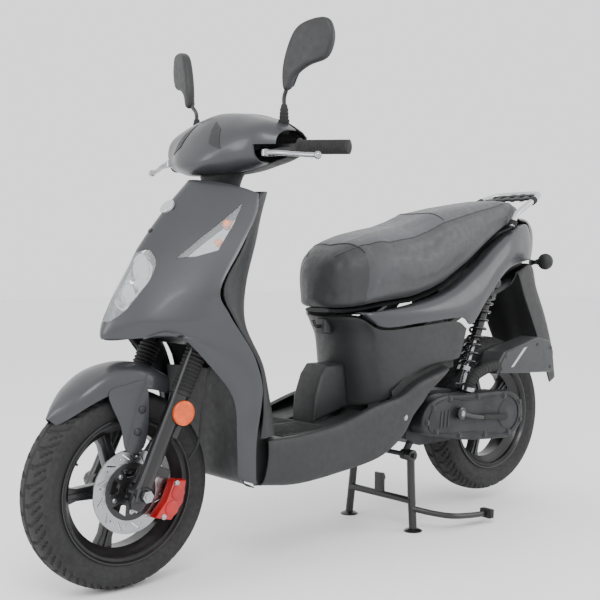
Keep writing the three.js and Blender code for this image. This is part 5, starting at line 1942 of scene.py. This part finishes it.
def stand():
    legs = []
    for s in (-1, 1):
        legs.append(
            tube(
                f"stand_leg{s}",
                [(216, s * 108, 205), (211, s * 116, 105), (207, s * 126, 6)],
                11,
                "black_metal",
                10,
                16,
            )
        )
        legs.append(
            turned(
                f"stand_foot{s}", (207, s * 126, 0), (207, s * 126, 8),
                [(0, 25), (0.3, 25.5), (0.5, 23), (1, 15)], "black_metal", 40,
            )
        )
        legs.append(
            turned(
                f"stand_eye{s}",
                (216, s * 95, 205),
                (216, s * 119, 205),
                [(0, 14.5), (0.05, 16), (0.95, 16), (1, 14.5)],
                "black_metal",
                40,
            )
        )
    bar = tube("stand_bar", [(207, -120, 82), (207, 120, 82)], 9.5, "black_metal", 1, 16)
    web = plate(
        "stand_web",
        [[(201, 84), (209, 84), (209, 142), (201, 142)]],
        -17,
        17,
        "black_metal",
        1.5,
    )
    tang = tube(
        "stand_tang",
        [(206, -124, 62), (244, -162, 50), (288, -195, 41), (352, -202, 33), (424, -203, 27)],
        8,
        "black_metal",
        10,
        16,
    )
    foot_pad = plate(
        "stand_pad",
        [[(419, 16), (436, 15), (437, 40), (421, 41)]],
        -224,
        -184,
        "rubber",
        3,
    )
    bumper = turned(
        "stand_bumper", (209, 0, 128), (220, 0, 130), [(0, 11), (0.3, 12), (0.8, 11), (1, 7)],
        "rubber", 28,
    )
    show(joined("stand_detail", legs + [bar, web, tang, foot_pad, bumper]), "centre_stand")


stand()


def kick():
    boss = turned(
        "kick_eye", (351, -166.6, 315), (351, -179, 315),
        [(0, 16), (0.1, 17), (0.85, 17), (1, 14)], "black_metal", 40,
    )
    arm = tube(
        "kick_arm",
        [(351, -173, 315), (400, -173, 302), (452, -173, 293)],
        6.5,
        "black_metal",
        10,
        14,
    )
    profile = [(0, 7)]
    for i in range(12):
        t = 0.02 + 0.94 * i / 12
        profile += [(t, 8.4), (t + 0.04, 9), (t + 0.06, 8.2)]
    pedal = turned("kick_pedal", (446, -173, 294), (553, -173, 285), profile + [(1, 7.4)], "rubber", 32)
    nut = bolt("kick_nut", (351, -179, 315), (0, -1, 0), 6, 3.5, "steel")
    show(joined("kick_detail", [boss, arm, pedal, nut]), "kick_lever")


kick()

# ------------------------------------------------------------------ floor, light and camera
scene = bpy.context.scene
floor_mesh = bpy.data.meshes.new("studio_floor")
floor_mesh.from_pydata([(-14, -14, 0), (14, -14, 0), (14, 14, 0), (-14, 14, 0)], [], [(0, 1, 2, 3)])
floor = bpy.data.objects.new("studio_floor", floor_mesh)
scene.collection.objects.link(floor)
floor_mat_look, floor_tree, floor_shader = new_material("studio_white")
floor_shader.inputs["Base Color"].default_value = (0.93, 0.93, 0.94, 1)
floor_shader.inputs["Roughness"].default_value = 0.6
floor_mesh.materials.append(floor_mat_look)

world = bpy.data.worlds.new("studio")
scene.world = world
world.use_nodes = True
world.node_tree.nodes["Background"].inputs["Color"].default_value = (1, 1, 1, 1)
world.node_tree.nodes["Background"].inputs["Strength"].default_value = 1.55


def soft_light(name, place, aim, size, power):
    data = bpy.data.lights.new(name, "AREA")
    data.shape = "RECTANGLE"
    data.size, data.size_y = size
    data.energy = power
    light = bpy.data.objects.new(name, data)
    scene.collection.objects.link(light)
    light.location = place
    light.rotation_euler = (Vector(aim) - Vector(place)).to_track_quat("-Z", "Y").to_euler()


soft_light("key", (-2.2, -2.6, 3.4), (-0.1, 0, 0.5), (2.4, 1.6), 110)
soft_light("side", (2.8, -2.6, 2.0), (0.1, 0, 0.5), (1.6, 2.0), 45)
soft_light("front", (-3.6, 0.8, 1.6), (-0.5, 0, 0.7), (1.2, 1.8), 40)

camera_data = bpy.data.cameras.new("photo_view")
camera_data.lens = 61.22
camera_data.sensor_width = 36
camera = bpy.data.objects.new("photo_view", camera_data)
scene.collection.objects.link(camera)
camera.location = (-1.8828, -2.0096, 0.7560)
aim = Vector((-0.1353, 0, 0.6379))
camera.rotation_euler = (aim - camera.location).to_track_quat("-Z", "Y").to_euler()
scene.camera = camera
